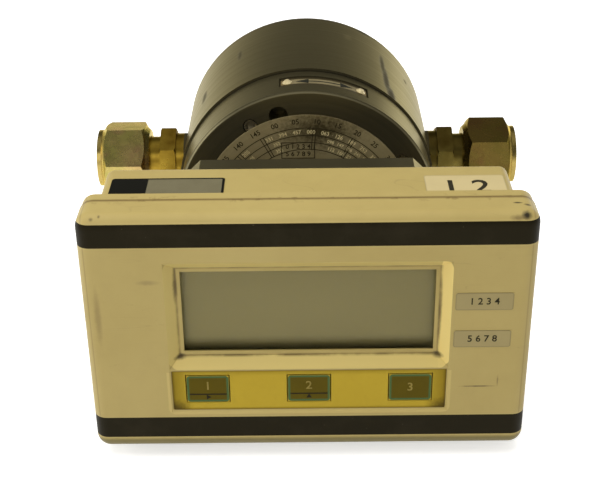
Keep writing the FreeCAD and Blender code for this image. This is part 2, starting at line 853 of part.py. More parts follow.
def make_case():
    body = new_body("case_body", "0", SEAM, AXIS)
    flange = ("bezel_width - 2 * flange_inset", "bezel_height - 2 * flange_inset")
    shaped(body, "case_flange", "Pad", [(rectangle, flange)], "0", "flange_depth")
    round_corners(body, "flange", "flange_inset")
    shaped(body, "case_box", "Pad", [(rectangle, (CASE_WIDE, CASE_HIGH))],
           "flange_depth", "case_depth")
    rear = size("flange_depth") + size("case_depth")
    side = size("bezel_width") / 2 - size("case_side_step")

    def box_edges(edge):
        point = edge.CenterOfMass
        corner = runs_along(edge, "y") and near(abs(point.x), side)
        return (corner and near(edge.BoundBox.YMax, rear)) or near(edge.BoundBox.YMin, rear)

    dress(body, "case_rounding", "Fillet", "case_corner", box_edges)
    shaped(body, "case_cavity", "Pocket", [(rectangle, CAVITY)],
           "0", "flange_depth + case_depth - case_back")
    gland = (circle, ("gland_thread_dia", GLAND_X, "-gland_drop"))
    shaped(body, "case_outlets", "Pocket", [(circle, ("neck_bore",)), gland],
           "flange_depth + case_depth - case_back", "case_back")
    return cut(
        "case_drilled",
        body,
        *holes("flange_hole", "shell_screw_dia", SHELL_SPOTS, SEAM, "flange_depth"),
        *holes("flange_sink", "shell_head_dia", SHELL_SPOTS, SHELL_HEAD_Y, "shell_head_thick"),
        *holes("case_hole", "plate_screw_dia", PLATE_SPOTS, INSIDE, "case_back"),
    )


node("rear_case", make_case())


def make_gland():
    rise = f"({AXIS} - gland_drop)"
    lock_y = f"{INSIDE} - gland_lock_thick"
    hex_rear = f"({CASE_REAR} + gland_hex_len)"
    node("gland_locknut", cut(
        "gland_locknut_bored",
        hexagon("gland_locknut_bar", "gland_across", "gland_lock_thick", GLAND_X, lock_y, rise,
                ABOUT_Y, FLATS_ASIDE),
        rod("gland_locknut_bore", "gland_thread_dia", "gland_lock_thick", GLAND_X, lock_y, rise),
    ))
    thread = rod("gland_thread", "gland_thread_dia", "gland_lock_thick + case_back", GLAND_X,
                 lock_y, rise)
    collar = hexagon("gland_collar", "gland_across", "gland_hex_len", GLAND_X, CASE_REAR, rise,
                     ABOUT_Y, FLATS_ASIDE)
    nose = rod("gland_nose", "gland_nose_dia", "gland_nose_len", GLAND_X, hex_rear, rise)
    bore = rod("gland_body_bore", "gland_bore",
               "gland_lock_thick + case_back + gland_hex_len", GLAND_X, lock_y, rise)
    socket = rod("gland_socket", "gland_seal_dia", "gland_nose_len", GLAND_X, hex_rear, rise)
    node("gland_body", cut("gland_body_bored", fuse("gland_body_solid", thread, collar, nose),
                           bore, socket))
    node("gland_seal", tube("gland_seal_sleeve", "gland_seal_dia", "gland_bore",
                            "gland_nose_len", GLAND_X, hex_rear, rise))
    cap_y = f"({hex_rear} + gland_cap_gap)"
    node("gland_cap", cut(
        "gland_cap_bored",
        hexagon("gland_cap_bar", "gland_across", "gland_cap_len", GLAND_X, cap_y, rise,
                ABOUT_Y, FLATS_ASIDE),
        rod("gland_cap_thread", "gland_nose_dia", "gland_nose_len - gland_cap_gap", GLAND_X,
            cap_y, rise),
        rod("gland_cap_bore", "gland_bore", "gland_cap_len", GLAND_X, cap_y, rise),
    ))


make_gland()


def make_plate():
    body = new_body("plate_body", "0", CASE_REAR, AXIS)
    shaped(body, "plate_block", "Pad", [(rectangle, ("plate_width", PLATE_HIGH))],
           "0", "plate_thick")
    dress(body, "plate_chamfers", "Chamfer", "plate_chamfer",
          lambda edge: runs_along(edge, "y"))
    shaped(body, "plate_bore", "Pocket", [(circle, ("neck_bore",))], "0", "plate_thick")
    return cut(
        "plate_drilled",
        body,
        *holes("plate_thread", "plate_screw_dia", PLATE_SPOTS, INSIDE, "plate_screw_len"),
        *holes("neck_screw_hole", "neck_screw_dia", neck_spots(), CASE_REAR, "plate_thick"),
        *holes("neck_screw_sink", "neck_head_dia", neck_spots(), CASE_REAR, "neck_head_thick"),
    )


node("adapter_plate", make_plate())
make_screws("plate_screws", "plate_screw_dia", "plate_screw_len", "plate_head_dia",
            "plate_head_thick", PLATE_SPOTS, INSIDE, rearward=True)

NECK_HEAD_Y = f"({CASE_REAR} + neck_head_thick)"
make_screws("neck_screws", "neck_screw_dia", "neck_screw_len", "neck_head_dia",
            "neck_head_thick", neck_spots(), NECK_HEAD_Y, rearward=True)
node("neck", cut(
    "neck_drilled",
    turned("neck", "Y", [
        ("neck_bore / 2", "0"),
        ("neck_dia / 2", "0"),
        ("neck_dia / 2", "neck_len"),
        ("neck_spigot_dia / 2", "neck_len"),
        ("neck_spigot_dia / 2", "neck_len + neck_spigot_len"),
        ("neck_bore / 2", "neck_len + neck_spigot_len"),
    ], "0", PLATE_REAR, AXIS),
    *holes("neck_thread", "neck_screw_dia", neck_spots(), NECK_HEAD_Y, "neck_screw_len"),
))

# ---- arrow plate on the cover's band ----------------------------------------------------

COVER_R = f"{COVER_DIA} / 2"
POCKET_FLOOR = f"({COVER_R} - arrow_pocket_deep)"
ARROW_MID_Y = f"({COVER_FRONT} + arrow_plate_setback + arrow_pocket_width / 2)"


def curved_plate(name, floor, thick, wide, span):
    """A plate bent round the meter's axis, its middle turned from the top."""
    start = size("arrow_plate_turn") - span / 2 - TOP_OF_ROD
    turn = ABOUT_Y.multiply(FreeCAD.Rotation(FreeCAD.Vector(0, 0, 1), start))
    y = f"{ARROW_MID_Y} - {wide} / 2"
    sector = rod(f"{name}_sector", f"2 * ({floor} + {thick})", wide, "0", y, AXIS, turn)
    sector.Angle = span
    core = rod(f"{name}_core", f"2 * {floor}", wide, "0", y, AXIS)
    return cut(name, sector, core)


def make_rivets():
    rivets = []
    for i, sign in enumerate((-1, 1), start=1):
        angle = size("arrow_plate_turn") + sign * size("arrow_rivet_span") / 2
        lean = FreeCAD.Rotation(FreeCAD.Vector(0, 1, 0), angle)
        turn = f"(arrow_plate_turn + {sign} * arrow_rivet_span / 2)"
        seat_r = f"({POCKET_FLOOR} + arrow_plate_thick)"
        root_r = f"({POCKET_FLOOR} - rivet_depth)"
        head = cone(f"rivet_{i}_head", "rivet_dia", "rivet_dia / 2", "rivet_rise",
                    f"{seat_r} * sin({turn})", ARROW_MID_Y, f"{AXIS} + {seat_r} * cos({turn})", lean)
        shank = rod(f"rivet_{i}_shank", "rivet_dia / 2", "rivet_depth + arrow_plate_thick",
                    f"{root_r} * sin({turn})", ARROW_MID_Y, f"{AXIS} + {root_r} * cos({turn})", lean)
        rivets.append(fuse(f"rivet_{i}", head, shank))
    return node("arrow_plate_rivets", group("arrow_rivet_pair", rivets))


arrow_rivets = make_rivets()
arrow_pocket = curved_plate("arrow_pocket", POCKET_FLOOR, "2 * arrow_pocket_deep",
                            "arrow_pocket_width", size("arrow_pocket_span"))
node("arrow_plate", cut(
    "arrow_plate_pierced",
    curved_plate("arrow_plate_blank", POCKET_FLOOR, "arrow_plate_thick", "arrow_plate_width",
                 size("arrow_plate_span")),
    arrow_rivets,
))

# ---- cover ------------------------------------------------------------------------------

BOLT_TURNS = [f"(cover_bolt_turn + {quarter})" for quarter in (0, 90, 180, 270)]


def bolt_spots():
    spots = []
    for turn in BOLT_TURNS:
        across, rise = polar("cover_bolt_circle_dia", turn)
        spots.append((across, f"({about_axis(rise)})"))
    return spots


def foot():
    """The outline cut away below the foot."""
    return [(rectangle, ("body_dia", "body_dia", "0", "-(foot_flat + body_dia / 2)"))]


def make_cover():
    rim = COVER_R
    plug = "(pot_dia / 2 - slide_fit)"
    groove = "(pot_dia / 2 - ring_section)"
    body = turned("cover", "Y", [
        ("0", "neck_spigot_len"),
        ("neck_spigot_dia / 2", "neck_spigot_len"),
        ("neck_spigot_dia / 2", "0"),
        (f"{rim} - cover_lip", "0"),
        (rim, "cover_lip"),
        (rim, "cover_len - seam_width"),
        (f"{rim} - seam_depth", "cover_len - seam_width"),
        (f"{rim} - seam_depth", "cover_len"),
        (plug, "cover_len"),
        (plug, "cover_len + ring_seat"),
        (groove, "cover_len + ring_seat"),
        (groove, "cover_len + ring_seat + ring_groove"),
        (plug, "cover_len + ring_seat + ring_groove"),
        (plug, "cover_len + plug_len"),
        ("bush_dia / 2", "cover_len + plug_len"),
        ("bush_dia / 2", "cover_len + plug_len - bush_len"),
        ("0", "cover_len + plug_len - bush_len"),
    ], "0", COVER_FRONT, AXIS)
    shaped(body, "cover_foot", "Pocket", foot(), "0", "cover_len")
    shaped(body, "probe_well", "Pocket", [(circle, ("probe_dia", "0", "magnet_circle_dia / 2"))],
           "neck_spigot_len", "cover_len + plug_len - probe_wall - neck_spigot_len")
    jacks = [(circle, ("jack_hole_dia", *polar("cover_bolt_circle_dia", turn)))
             for turn in ("-jack_hole_turn", "180 - jack_hole_turn")]
    shaped(body, "jack_holes", "Pocket", jacks, "0", "jack_hole_depth")
    return cut(
        "cover_drilled",
        body,
        arrow_pocket,
        arrow_rivets,
        *holes("cover_bolt_hole", "cover_bolt_dia", bolt_spots(), COVER_FRONT, "cover_len"),
        *holes("cover_bolt_sink", "cover_head_dia + 2 * head_room", bolt_spots(), COVER_FRONT,
               "cover_head_thick + head_room"),
    )


node("front_cover", make_cover())
COVER_HEAD_Y = f"({COVER_FRONT} + cover_head_thick + head_room)"
make_screws("cover_screws", "cover_bolt_dia", "cover_bolt_len", "cover_head_dia",
            "cover_head_thick", bolt_spots(), COVER_HEAD_Y, rearward=True)
node("rating_plate", tube("rating_disc", "rating_dia", "neck_dia + 2 * slide_fit", "rating_thick",
                          "0", f"{COVER_FRONT} - rating_thick", AXIS))


def make_o_ring():
    ring = doc.addObject("Part::Torus", "cover_ring_torus")
    ring.setExpression("Radius1", bound("pot_dia / 2 - ring_section / 2 - ring_slack"))
    ring.setExpression("Radius2", bound("ring_section / 2 - ring_slack"))
    middle = f"{JOINT} + ring_seat + ring_groove / 2"
    return node("cover_o_ring", place(ring, "0", middle, AXIS, ABOUT_Y))


make_o_ring()

# ---- meter body -------------------------------------------------------------------------


def make_meter_body():
    radius = "body_dia / 2"
    body = turned("meter", "Y", [
        ("pot_dia / 2", "0"),
        (radius, "0"),
        (radius, "body_len - body_chamfer"),
        (f"{radius} - body_chamfer", "body_len"),
        ("0", "body_len"),
        ("0", "body_len - pot_floor + bush_len"),
        ("bush_dia / 2", "body_len - pot_floor + bush_len"),
        ("bush_dia / 2", "body_len - pot_floor"),
        ("pot_dia / 2", "body_len - pot_floor"),
    ], "0", JOINT, AXIS)
    shaped(body, "meter_foot", "Pocket", foot(), "0", "body_len")
    return cut(
        "meter_bored",
        body,
        rod("passage", "stud_bore", SEAT_GAP, f"-{SEAT_GAP} / 2", PIPE, AXIS, ABOUT_X),
        rod("inlet_thread", "stud_dia", "stud_len", f"-{SEAT_GAP} / 2", PIPE, AXIS, ABOUT_X),
        rod("outlet_thread", "stud_dia", "stud_len", f"{SEAT_GAP} / 2 - stud_len", PIPE, AXIS,
            ABOUT_X),
        rod("inlet_seat", "seat_dia", "body_dia / 2", f"-({SEAT_GAP} + body_dia) / 2", PIPE, AXIS,
            ABOUT_X),
        rod("outlet_seat", "seat_dia", "body_dia / 2", f"{SEAT_GAP} / 2", PIPE, AXIS, ABOUT_X),
        *holes("cover_bolt_thread", "cover_bolt_dia", bolt_spots(), COVER_HEAD_Y,
               "cover_bolt_len"),
        *[rod(f"foot_thread_{i}", "foot_hole_dia", "foot_hole_depth", "0",
              f"({JOINT} + {REAR}) / 2 {sign} foot_hole_pitch / 2", "0", UPRIGHT)
          for i, sign in enumerate(("-", "+"), start=1)],
    )


node("meter_body", make_meter_body())

# ---- turbine ----------------------------------------------------------------------------

MAGNET_TURNS = ("0", "90", "180", "270")


def make_jet_ring():
    outer = "pot_dia - 2 * slide_fit"
    length = f"{POT_END} - {PLUG_END}"
    ring = tube("jet_ring_tube", outer, f"{outer} - 2 * jet_wall", length, "0", PLUG_END, AXIS)
    lean = size("jet_slope")
    run_in = "(2 * jet_wall)"
    jets = []
    for side, sign in (("inlet", -1), ("outlet", 1)):
        turn = FreeCAD.Rotation(FreeCAD.Vector(0, 1, 0), -sign * (90 - lean))
        start_x = f"{sign} * (pot_dia / 2 + {run_in} * cos(jet_slope))"
        start_z = f"{AXIS} - {run_in} * sin(jet_slope)"
        jets.append(rod(f"{side}_jet", "jet_bore", f"2 * {run_in}", start_x, PIPE, start_z, turn))
    return node("jet_ring", cut("jet_ring_bored", ring, *jets))


def make_wheel():
    hub_len = f"{POT_END} - {PLUG_END} - 2 * end_play"
    web = "(web_gap - end_play)"
    body = turned("wheel", "Y", [
        ("shaft_dia / 2", "0"),
        ("hub_dia / 2", "0"),
        ("hub_dia / 2", web),
        ("wheel_dia / 2", web),
        ("wheel_dia / 2", f"{web} + web_thick"),
        ("hub_dia / 2", f"{web} + web_thick"),
        ("hub_dia / 2", hub_len),
        ("shaft_dia / 2", hub_len),
    ], "0", f"{PLUG_END} + end_play", AXIS)
    reach = "(wheel_dia / 2 - hub_dia / 2 + vane_root)"
    vane = (rectangle, (reach, "vane_thick", f"wheel_dia / 2 - {reach} / 2", "0"))
    blade = shaped(body, "vane", "Pad", [vane], f"{web} + web_thick", "vane_len")
    pattern = body.newObject("PartDesign::PolarPattern", "vanes")
    pattern.Originals = [blade]
    pattern.Axis = (plane_of(body, "Y_Axis"), [""])
    pattern.Angle = 360
    pattern.setExpression("Occurrences", bound("vane_count"))
    body.Tip = pattern
    pockets = [(circle, ("magnet_dia", *polar("magnet_circle_dia", turn))) for turn in MAGNET_TURNS]
    shaped(body, "magnet_pockets", "Pocket", pockets, web, "magnet_len")
    return node("turbine_wheel", body)


make_jet_ring()
make_wheel()
magnets = []
for index, magnet_turn in enumerate(MAGNET_TURNS, start=1):
    across, rise = polar("magnet_circle_dia", magnet_turn)
    magnets.append(rod(f"magnet_{index}", "magnet_dia", "magnet_len", across,
                       f"{PLUG_END} + web_gap", about_axis(rise)))
node("wheel_magnets", group("magnet_set", magnets))
BUSH_FRONT = f"({PLUG_END} - bush_len)"
node("wheel_shaft", rod("shaft_rod", "shaft_dia",
                        f"{POT_END} - {PLUG_END} + 2 * (bush_len - end_play)", "0",
                        f"{BUSH_FRONT} + end_play", AXIS))
for side, bush_y in (("front", BUSH_FRONT), ("rear", POT_END)):
    node(f"{side}_bearing", tube(f"{side}_bush", "bush_dia", "shaft_dia + 2 * shaft_play",
                                 "bush_len", "0", bush_y, AXIS))

# ---- pick-up ----------------------------------------------------------------------------


def make_pickup():
    seat = f"({COVER_FRONT} + neck_spigot_len)"
    tail = f"({seat} - lock_thick - probe_tail)"
    tip = f"({PLUG_END} - probe_wall)"
    node("sensor_probe", rod("probe_barrel", "probe_dia", f"{tip} - {tail}", "0", tail, PROBE_RISE))
    node("sensor_locknut", cut(
        "sensor_locknut_bored",
        hexagon("sensor_locknut_bar", "lock_across", "lock_thick", "0", f"{seat} - lock_thick",
                PROBE_RISE),
        rod("sensor_locknut_bore", "probe_dia", "lock_thick", "0", f"{seat} - lock_thick",
            PROBE_RISE),
    ))


def make_lead():
    """The pick-up's lead: straight out of the probe, a gentle step down, and into the terminals."""
    start_y = station("neck_len") + size("neck_spigot_len") - size("lock_thick") - size("probe_tail")
    start_z = size("foot_flat") + size("magnet_circle_dia") / 2
    end_z = size("foot_flat") - size("terminal_drop")
    layers = ("bezel_skin", "lens_thick", "lens_seal_thick", "glass_thick", "zebra_width",
              "board_thick", "terminal_deep")
    end_y = station("bezel_depth") - size("bezel_depth") + sum(size(name) for name in layers)
    drop = start_z - end_z
    bend = size("lead_bend")
    slope = min(math.radians(size("lead_slope")), math.acos(1 - drop / (2 * bend)))
    climb = drop - 2 * bend * (1 - math.cos(slope))
    run = climb / math.tan(slope)
    level = (start_y - end_y - run - 2 * bend * math.sin(slope)) / 2
    point = FreeCAD.Vector(0, start_y, start_z)
    bend_in = point + FreeCAD.Vector(0, -level, 0)
    mid_in = bend_in + FreeCAD.Vector(0, -bend * math.sin(slope / 2),
                                      -bend * (1 - math.cos(slope / 2)))
    ramp_top = bend_in + FreeCAD.Vector(0, -bend * math.sin(slope), -bend * (1 - math.cos(slope)))
    end = FreeCAD.Vector(0, end_y, end_z)
    bend_out = end + FreeCAD.Vector(0, level, 0)
    mid_out = bend_out + FreeCAD.Vector(0, bend * math.sin(slope / 2),
                                        bend * (1 - math.cos(slope / 2)))
    ramp_foot = bend_out + FreeCAD.Vector(0, bend * math.sin(slope), bend * (1 - math.cos(slope)))
    path = [Part.LineSegment(point, bend_in).toShape(),
            Part.Arc(bend_in, mid_in, ramp_top).toShape()]
    if (ramp_top - ramp_foot).Length > 0.01:
        path.append(Part.LineSegment(ramp_top, ramp_foot).toShape())
    path.append(Part.Arc(ramp_foot, mid_out, bend_out).toShape())
    path.append(Part.LineSegment(bend_out, end).toShape())
    spine = Part.Wire(path)
    section = Part.Wire(Part.makeCircle(size("lead_dia") / 2, point, FreeCAD.Vector(0, -1, 0)))
    lead = doc.addObject("Part::Feature", "lead_tube")
    lead.Shape = spine.makePipeShell([section], True, True)
    return node("sensor_lead", lead)


make_pickup()
make_lead()

# ---- pipe fittings ----------------------------------------------------------------------


def chamfered_bar(name, across, length, x, turn, bevel):
    """A hexagonal bar along X with its corners turned off at both ends."""
    bar = hexagon(f"{name}_bar", across, length, x, PIPE, AXIS, ABOUT_X, TOP_OF_BAR - turn)
    corner = f"2 * {across} / sqrt(3)"
    ends = f"{corner} - 2 * sqrt(3) * {bevel}"
    blank = fuse(
        f"{name}_blank",
        cone(f"{name}_lead_in", ends, corner, bevel, x, PIPE, AXIS, ABOUT_X),
        rod(f"{name}_middle", corner, f"{length} - 2 * {bevel}", f"{x} + {bevel}", PIPE, AXIS,
            ABOUT_X),
        cone(f"{name}_lead_out", corner, ends, bevel, f"{x} + {length} - {bevel}", PIPE, AXIS,
             ABOUT_X),
    )
    return common(name, bar, blank)


def along_x(name, sign, dia_a, dia_b, start, length):
    """A turned section of a fitting, from its start outwards, on either side."""
    if sign > 0:
        return cone(name, dia_a, dia_b, length, start, PIPE, AXIS, ABOUT_X)
    return cone(name, dia_b, dia_a, length, f"-({start} + {length})", PIPE, AXIS, ABOUT_X)


def straight(name, sign, dia, start, length):
    x = start if sign > 0 else f"-({start} + {length})"
    return rod(name, dia, length, x, PIPE, AXIS, ABOUT_X)


SEAT = f"({SEAT_GAP} / 2)"
COLLAR = f"({SEAT} + stud_seal_thick)"
HEX = f"({COLLAR} + stud_collar_len)"
STUD_NECK = f"({HEX} + stud_hex_len)"
STUD_HEAD = f"({STUD_NECK} + stud_neck_len)"
NOSE = f"({STUD_HEAD} + stud_head_len)"
NUT = f"({STUD_HEAD} - nut_gap - nut_back)"
NUT_HEX = f"({NUT} + nut_taper_len)"
NUT_SHOULDER = f"({NUT_HEX} + nut_hex_len)"
NUT_RIM = f"({NUT_SHOULDER} + nut_shoulder_len)"
NUT_END = f"({NUT_RIM} + nut_rim_len)"
NUT_ROOM = f"({STUD_HEAD} - nut_gap)"
NUT_THREAD = f"({NOSE} + cone_len + nut_gap)"


def make_fitting(side, sign):
    node(f"{side}_seal", cut(
        f"{side}_seal_ring",
        straight(f"{side}_seal_outer", sign, "stud_collar_dia", SEAT, "stud_seal_thick"),
        straight(f"{side}_seal_inner", sign, "stud_dia", SEAT, "stud_seal_thick"),
    ))
    hex_x = HEX if sign > 0 else f"-({HEX} + stud_hex_len)"
    stud = fuse(
        f"{side}_stud_solid",
        straight(f"{side}_stud_thread", sign, "stud_dia", f"{SEAT} - stud_len",
                 "stud_len + stud_seal_thick"),
        straight(f"{side}_stud_collar", sign, "stud_collar_dia", COLLAR, "stud_collar_len"),
        chamfered_bar(f"{side}_stud_hex", "stud_across", "stud_hex_len", hex_x,
                      STUD_TURN[side], "stud_bevel"),
        straight(f"{side}_stud_neck", sign, "stud_neck_dia", STUD_NECK, "stud_neck_len"),
        straight(f"{side}_stud_head", sign, "stud_head_dia", STUD_HEAD, "stud_head_len"),
        along_x(f"{side}_stud_nose", sign, "cone_dia", "cone_dia - cone_len", NOSE, "cone_len"),
    )
    node(f"{side}_stud", cut(
        f"{side}_stud_bored", stud,
        straight(f"{side}_stud_bore", sign, "stud_bore", f"{SEAT} - stud_len",
                 f"{NOSE} + cone_len - {SEAT} + stud_len"),
    ))
    nut_x = NUT_HEX if sign > 0 else f"-({NUT_HEX} + nut_hex_len)"
    nut = fuse(
        f"{side}_nut_solid",
        along_x(f"{side}_nut_taper", sign, "nut_taper_dia", "nut_crown_dia", NUT, "nut_taper_len"),
        chamfered_bar(f"{side}_nut_hex", "nut_across", "nut_hex_len", nut_x, NUT_TURN[side],
                      "nut_bevel"),
        along_x(f"{side}_nut_shoulder", sign, "nut_crown_dia", "nut_rim_dia", NUT_SHOULDER,
                "nut_shoulder_len"),
        straight(f"{side}_nut_rim", sign, "nut_rim_dia", NUT_RIM, "nut_rim_len"),
    )
    node(f"{side}_nut", cut(
        f"{side}_nut_bored", nut,
        straight(f"{side}_nut_throat", sign, "stud_neck_dia + 2 * nut_gap", NUT,
                 f"{NUT_ROOM} - {NUT}"),
        straight(f"{side}_nut_room", sign, "stud_head_dia + 2 * nut_gap", NUT_ROOM,
                 f"{NUT_THREAD} - {NUT_ROOM}"),
        straight(f"{side}_nut_thread", sign, "nut_thread_dia", NUT_THREAD,
                 f"{NUT_END} - {NUT_THREAD}"),
    ))


make_fitting("inlet", -1)
make_fitting("outlet", 1)

# ---- check and export -------------------------------------------------------------------


def check():
    doc.recompute()
    for item in doc.Objects:
        if "Invalid" in item.State or "Error" in item.State:
            raise RuntimeError(f"{item.Name} failed: {item.State}")
    for name, item in nodes.items():
        shape = item.Shape
        if shape.isNull() or not shape.isValid() or not shape.Solids:
            raise RuntimeError(f"{name} has no valid solid")


def export():
    os.makedirs("parts", exist_ok=True)
    for name, item in nodes.items():
        item.Shape.exportStep(f"parts/{name}.step")
        print(name, len(item.Shape.Solids), "solids", round(item.Shape.Volume), "mm3")


check()
export()
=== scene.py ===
"""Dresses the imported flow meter: its finishes, prints and engravings, and the stage it stands on."""

import json
import math

import bmesh
import bpy
from mathutils import Matrix, Vector

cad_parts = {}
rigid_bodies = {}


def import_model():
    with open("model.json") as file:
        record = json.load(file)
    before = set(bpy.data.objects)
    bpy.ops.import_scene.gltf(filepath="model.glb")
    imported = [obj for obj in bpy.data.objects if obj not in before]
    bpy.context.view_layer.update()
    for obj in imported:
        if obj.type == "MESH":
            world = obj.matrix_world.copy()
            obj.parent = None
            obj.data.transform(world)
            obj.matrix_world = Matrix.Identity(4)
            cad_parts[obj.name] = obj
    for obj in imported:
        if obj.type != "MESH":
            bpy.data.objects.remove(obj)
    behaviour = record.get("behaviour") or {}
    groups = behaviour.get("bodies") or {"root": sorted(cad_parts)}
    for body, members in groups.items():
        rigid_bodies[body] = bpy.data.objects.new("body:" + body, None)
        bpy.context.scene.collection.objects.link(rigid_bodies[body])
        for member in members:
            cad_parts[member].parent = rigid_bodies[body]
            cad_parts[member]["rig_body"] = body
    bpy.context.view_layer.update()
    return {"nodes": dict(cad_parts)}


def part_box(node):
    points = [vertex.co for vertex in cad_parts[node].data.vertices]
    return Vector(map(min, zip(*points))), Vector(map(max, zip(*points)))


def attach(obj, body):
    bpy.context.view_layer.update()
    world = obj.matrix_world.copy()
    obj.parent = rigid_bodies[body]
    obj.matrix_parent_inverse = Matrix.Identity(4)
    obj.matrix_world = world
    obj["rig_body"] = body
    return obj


bl_info = {
    "name": "Flow meter finish",
    "version": (1, 0, 0),
    "blender": (4, 5, 0),
    "location": "3D View > Sidebar > Flow meter",
    "description": "Finishes, prints and engravings of a flow meter with a display head",
    "category": "Object",
}

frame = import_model()
MM = 0.001
SHARP_ANGLE = math.radians(35)


# ---- what the frame says --------------------


def middle(node):
    low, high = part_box(node)
    return (low + high) / 2


AXIS_Z = middle("wheel_shaft").z
SEAM_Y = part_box("front_bezel")[1].y
KEYS = ("key_left", "key_middle", "key_right")


# ---- mesh helpers --------------------


def add_object(name, data):
    """A new object in the scene, which holds the given data."""
    obj = bpy.data.objects.new(name, data)
    bpy.context.scene.collection.objects.link(obj)
    return obj


def piece(name, bm, body, material):
    """A finished piece from a bmesh that is already in place."""
    mesh = bpy.data.meshes.new(name)
    bm.to_mesh(mesh)
    bm.free()
    mesh.materials.append(material)
    mesh.shade_smooth()
    mesh.set_sharp_from_angle(angle=SHARP_ANGLE)
    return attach(add_object(name, mesh), body)


def add_block(bm, centre, size):
    """A plain strip or plate, given by its middle and its size."""
    bmesh.ops.create_cube(bm, size=1.0,
                          matrix=Matrix.Translation(centre) @ Matrix.Diagonal((*size, 1.0)))


def wrap_round(verts, radius):
    """Bends what lies flat on a drum's top, so that it follows the drum about the meter's axis."""
    for vert in verts:
        turn, out = vert.co.x / radius, radius + vert.co.z
        vert.co = Vector((out * math.sin(turn), vert.co.y, AXIS_Z + out * math.cos(turn)))


def finish_cad(material, *names):
    """Gives the frame's own pieces a finish."""
    for name in names:
        obj = frame["nodes"][name]
        obj.data.materials.clear()
        obj.data.materials.append(material)


# ---- shader helpers --------------------


def feed(tree, socket, value):
    """Links a socket to another, or sets it to a plain value; a plain colour is opaque."""
    if isinstance(value, bpy.types.NodeSocket):
        tree.links.new(value, socket)
    elif socket.type == "RGBA":
        socket.default_value = (*value[:3], 1.0)
    else:
        socket.default_value = value


def shader_node(tree, kind, inputs=None, **settings):
    """A node with its settings made and its inputs set or linked."""
    made = tree.nodes.new(kind)
    for key, value in settings.items():
        setattr(made, key, value)
    for key, value in (inputs or {}).items():
        feed(tree, made.inputs[key], value)
    return made


def maths(tree, operation, a, b=0.0, clamp=False):
    return shader_node(tree, "ShaderNodeMath", {0: a, 1: b}, operation=operation,
                       use_clamp=clamp).outputs[0]


def times(tree, a, b):
    return maths(tree, "MULTIPLY", a, b)


def apart(tree, a, b):
    """How far two values are apart."""
    return maths(tree, "ABSOLUTE", maths(tree, "SUBTRACT", a, b))


def diagonal(tree, a, b):
    """The length of a slope that goes a along and b up."""
    return maths(tree, "SQRT", maths(tree, "ADD", times(tree, a, a), times(tree, b, b)))


def remap(tree, value, low, high, to_low=0.0, to_high=1.0):
    return shader_node(tree, "ShaderNodeMapRange", {
        "Value": value, "From Min": low, "From Max": high, "To Min": to_low, "To Max": to_high,
    }, clamp=True).outputs["Result"]


def fade(tree, value, low, high):
    """1 up to the low value, and 0 from the high one."""
    return remap(tree, value, low, high, 1.0, 0.0)


def between(tree, mask, at_none, at_full):
    """A value that goes with a mask from one figure to another."""
    return remap(tree, mask, 0.0, 1.0, at_none, at_full)


def near(tree, value, target, reach):
    """1 where a value is at its target, 0 from reach away."""
    return fade(tree, apart(tree, value, target), 0.0, reach)


def blend_colour(tree, factor, a, b):
    mix = shader_node(tree, "ShaderNodeMix", {0: factor, 6: a, 7: b}, data_type="RGBA")
    return mix.outputs[2]


def tint(tree, colour, mask, share, paint):
    """Lays a paint over a colour where the mask says, at most to the given share."""
    return blend_colour(tree, times(tree, mask, share), colour, paint)


def scaled(colour, *factors):
    """A colour with its red, green and blue changed by the given factors."""
    factors = factors * 3 if len(factors) == 1 else factors
    return tuple(min(1.0, c * f) for c, f in zip(colour[:3], factors))


def where(tree):
    return shader_node(tree, "ShaderNodeTexCoord").outputs["Object"]


def place_of(tree):
    """A point's X, Y and Z on the model."""
    return shader_node(tree, "ShaderNodeSeparateXYZ", {"Vector": where(tree)}).outputs


def noise(tree, scale, detail, vector=None, **others):
    """Cloudy values from 0 to 1."""
    given = {"Vector": vector or where(tree), "Scale": scale, "Detail": detail, **others}
    return shader_node(tree, "ShaderNodeTexNoise", given).outputs["Fac"]


def in_mm(sizes):
    return [size * MM for size in sizes]


def effect(name, outputs=("Mask",), **inputs):
    """Turns build(tree, in_sockets) into a node group, which is made once and then added to any tree.

    Its inputs are given in their order here, and those left out keep their defaults.
    """
    def group_of(build):
        group = bpy.data.node_groups.new(name, "ShaderNodeTree")
        for label, default in inputs.items():
            kind = "NodeSocketVector" if isinstance(default, tuple) else "NodeSocketFloat"
            socket = group.interface.new_socket(label, in_out="INPUT", socket_type=kind)
            socket.default_value = default
        for label in outputs:
            group.interface.new_socket(label, in_out="OUTPUT", socket_type="NodeSocketFloat")
        source = group.nodes.new("NodeGroupInput")
        sink = group.nodes.new("NodeGroupOutput")
        for label, socket in zip(outputs, build(group, source.outputs)):
            group.links.new(socket, sink.inputs[label])
        return group

    def wrap(build):
        def add(tree, *given):
            group = bpy.data.node_groups.get(name) or group_of(build)
            made = shader_node(tree, "ShaderNodeGroup", node_tree=group)
            for label, value in zip(inputs, given):
                feed(tree, made.inputs[label], value)
            return made.outputs if len(outputs) > 1 else made.outputs[0]
        return add
    return wrap


WARM_GLOSS = (1.0, 0.88, 0.50)


@effect("Mottle", Scale=40.0, Low=0.4, High=0.7)
def mottle(tree, given):
    """Soft uneven patches, such as yellowing, handling marks and thin dirt."""
    cloud = noise(tree, given["Scale"], 5.0, Roughness=0.6)
    return [remap(tree, cloud, given["Low"], given["High"])]


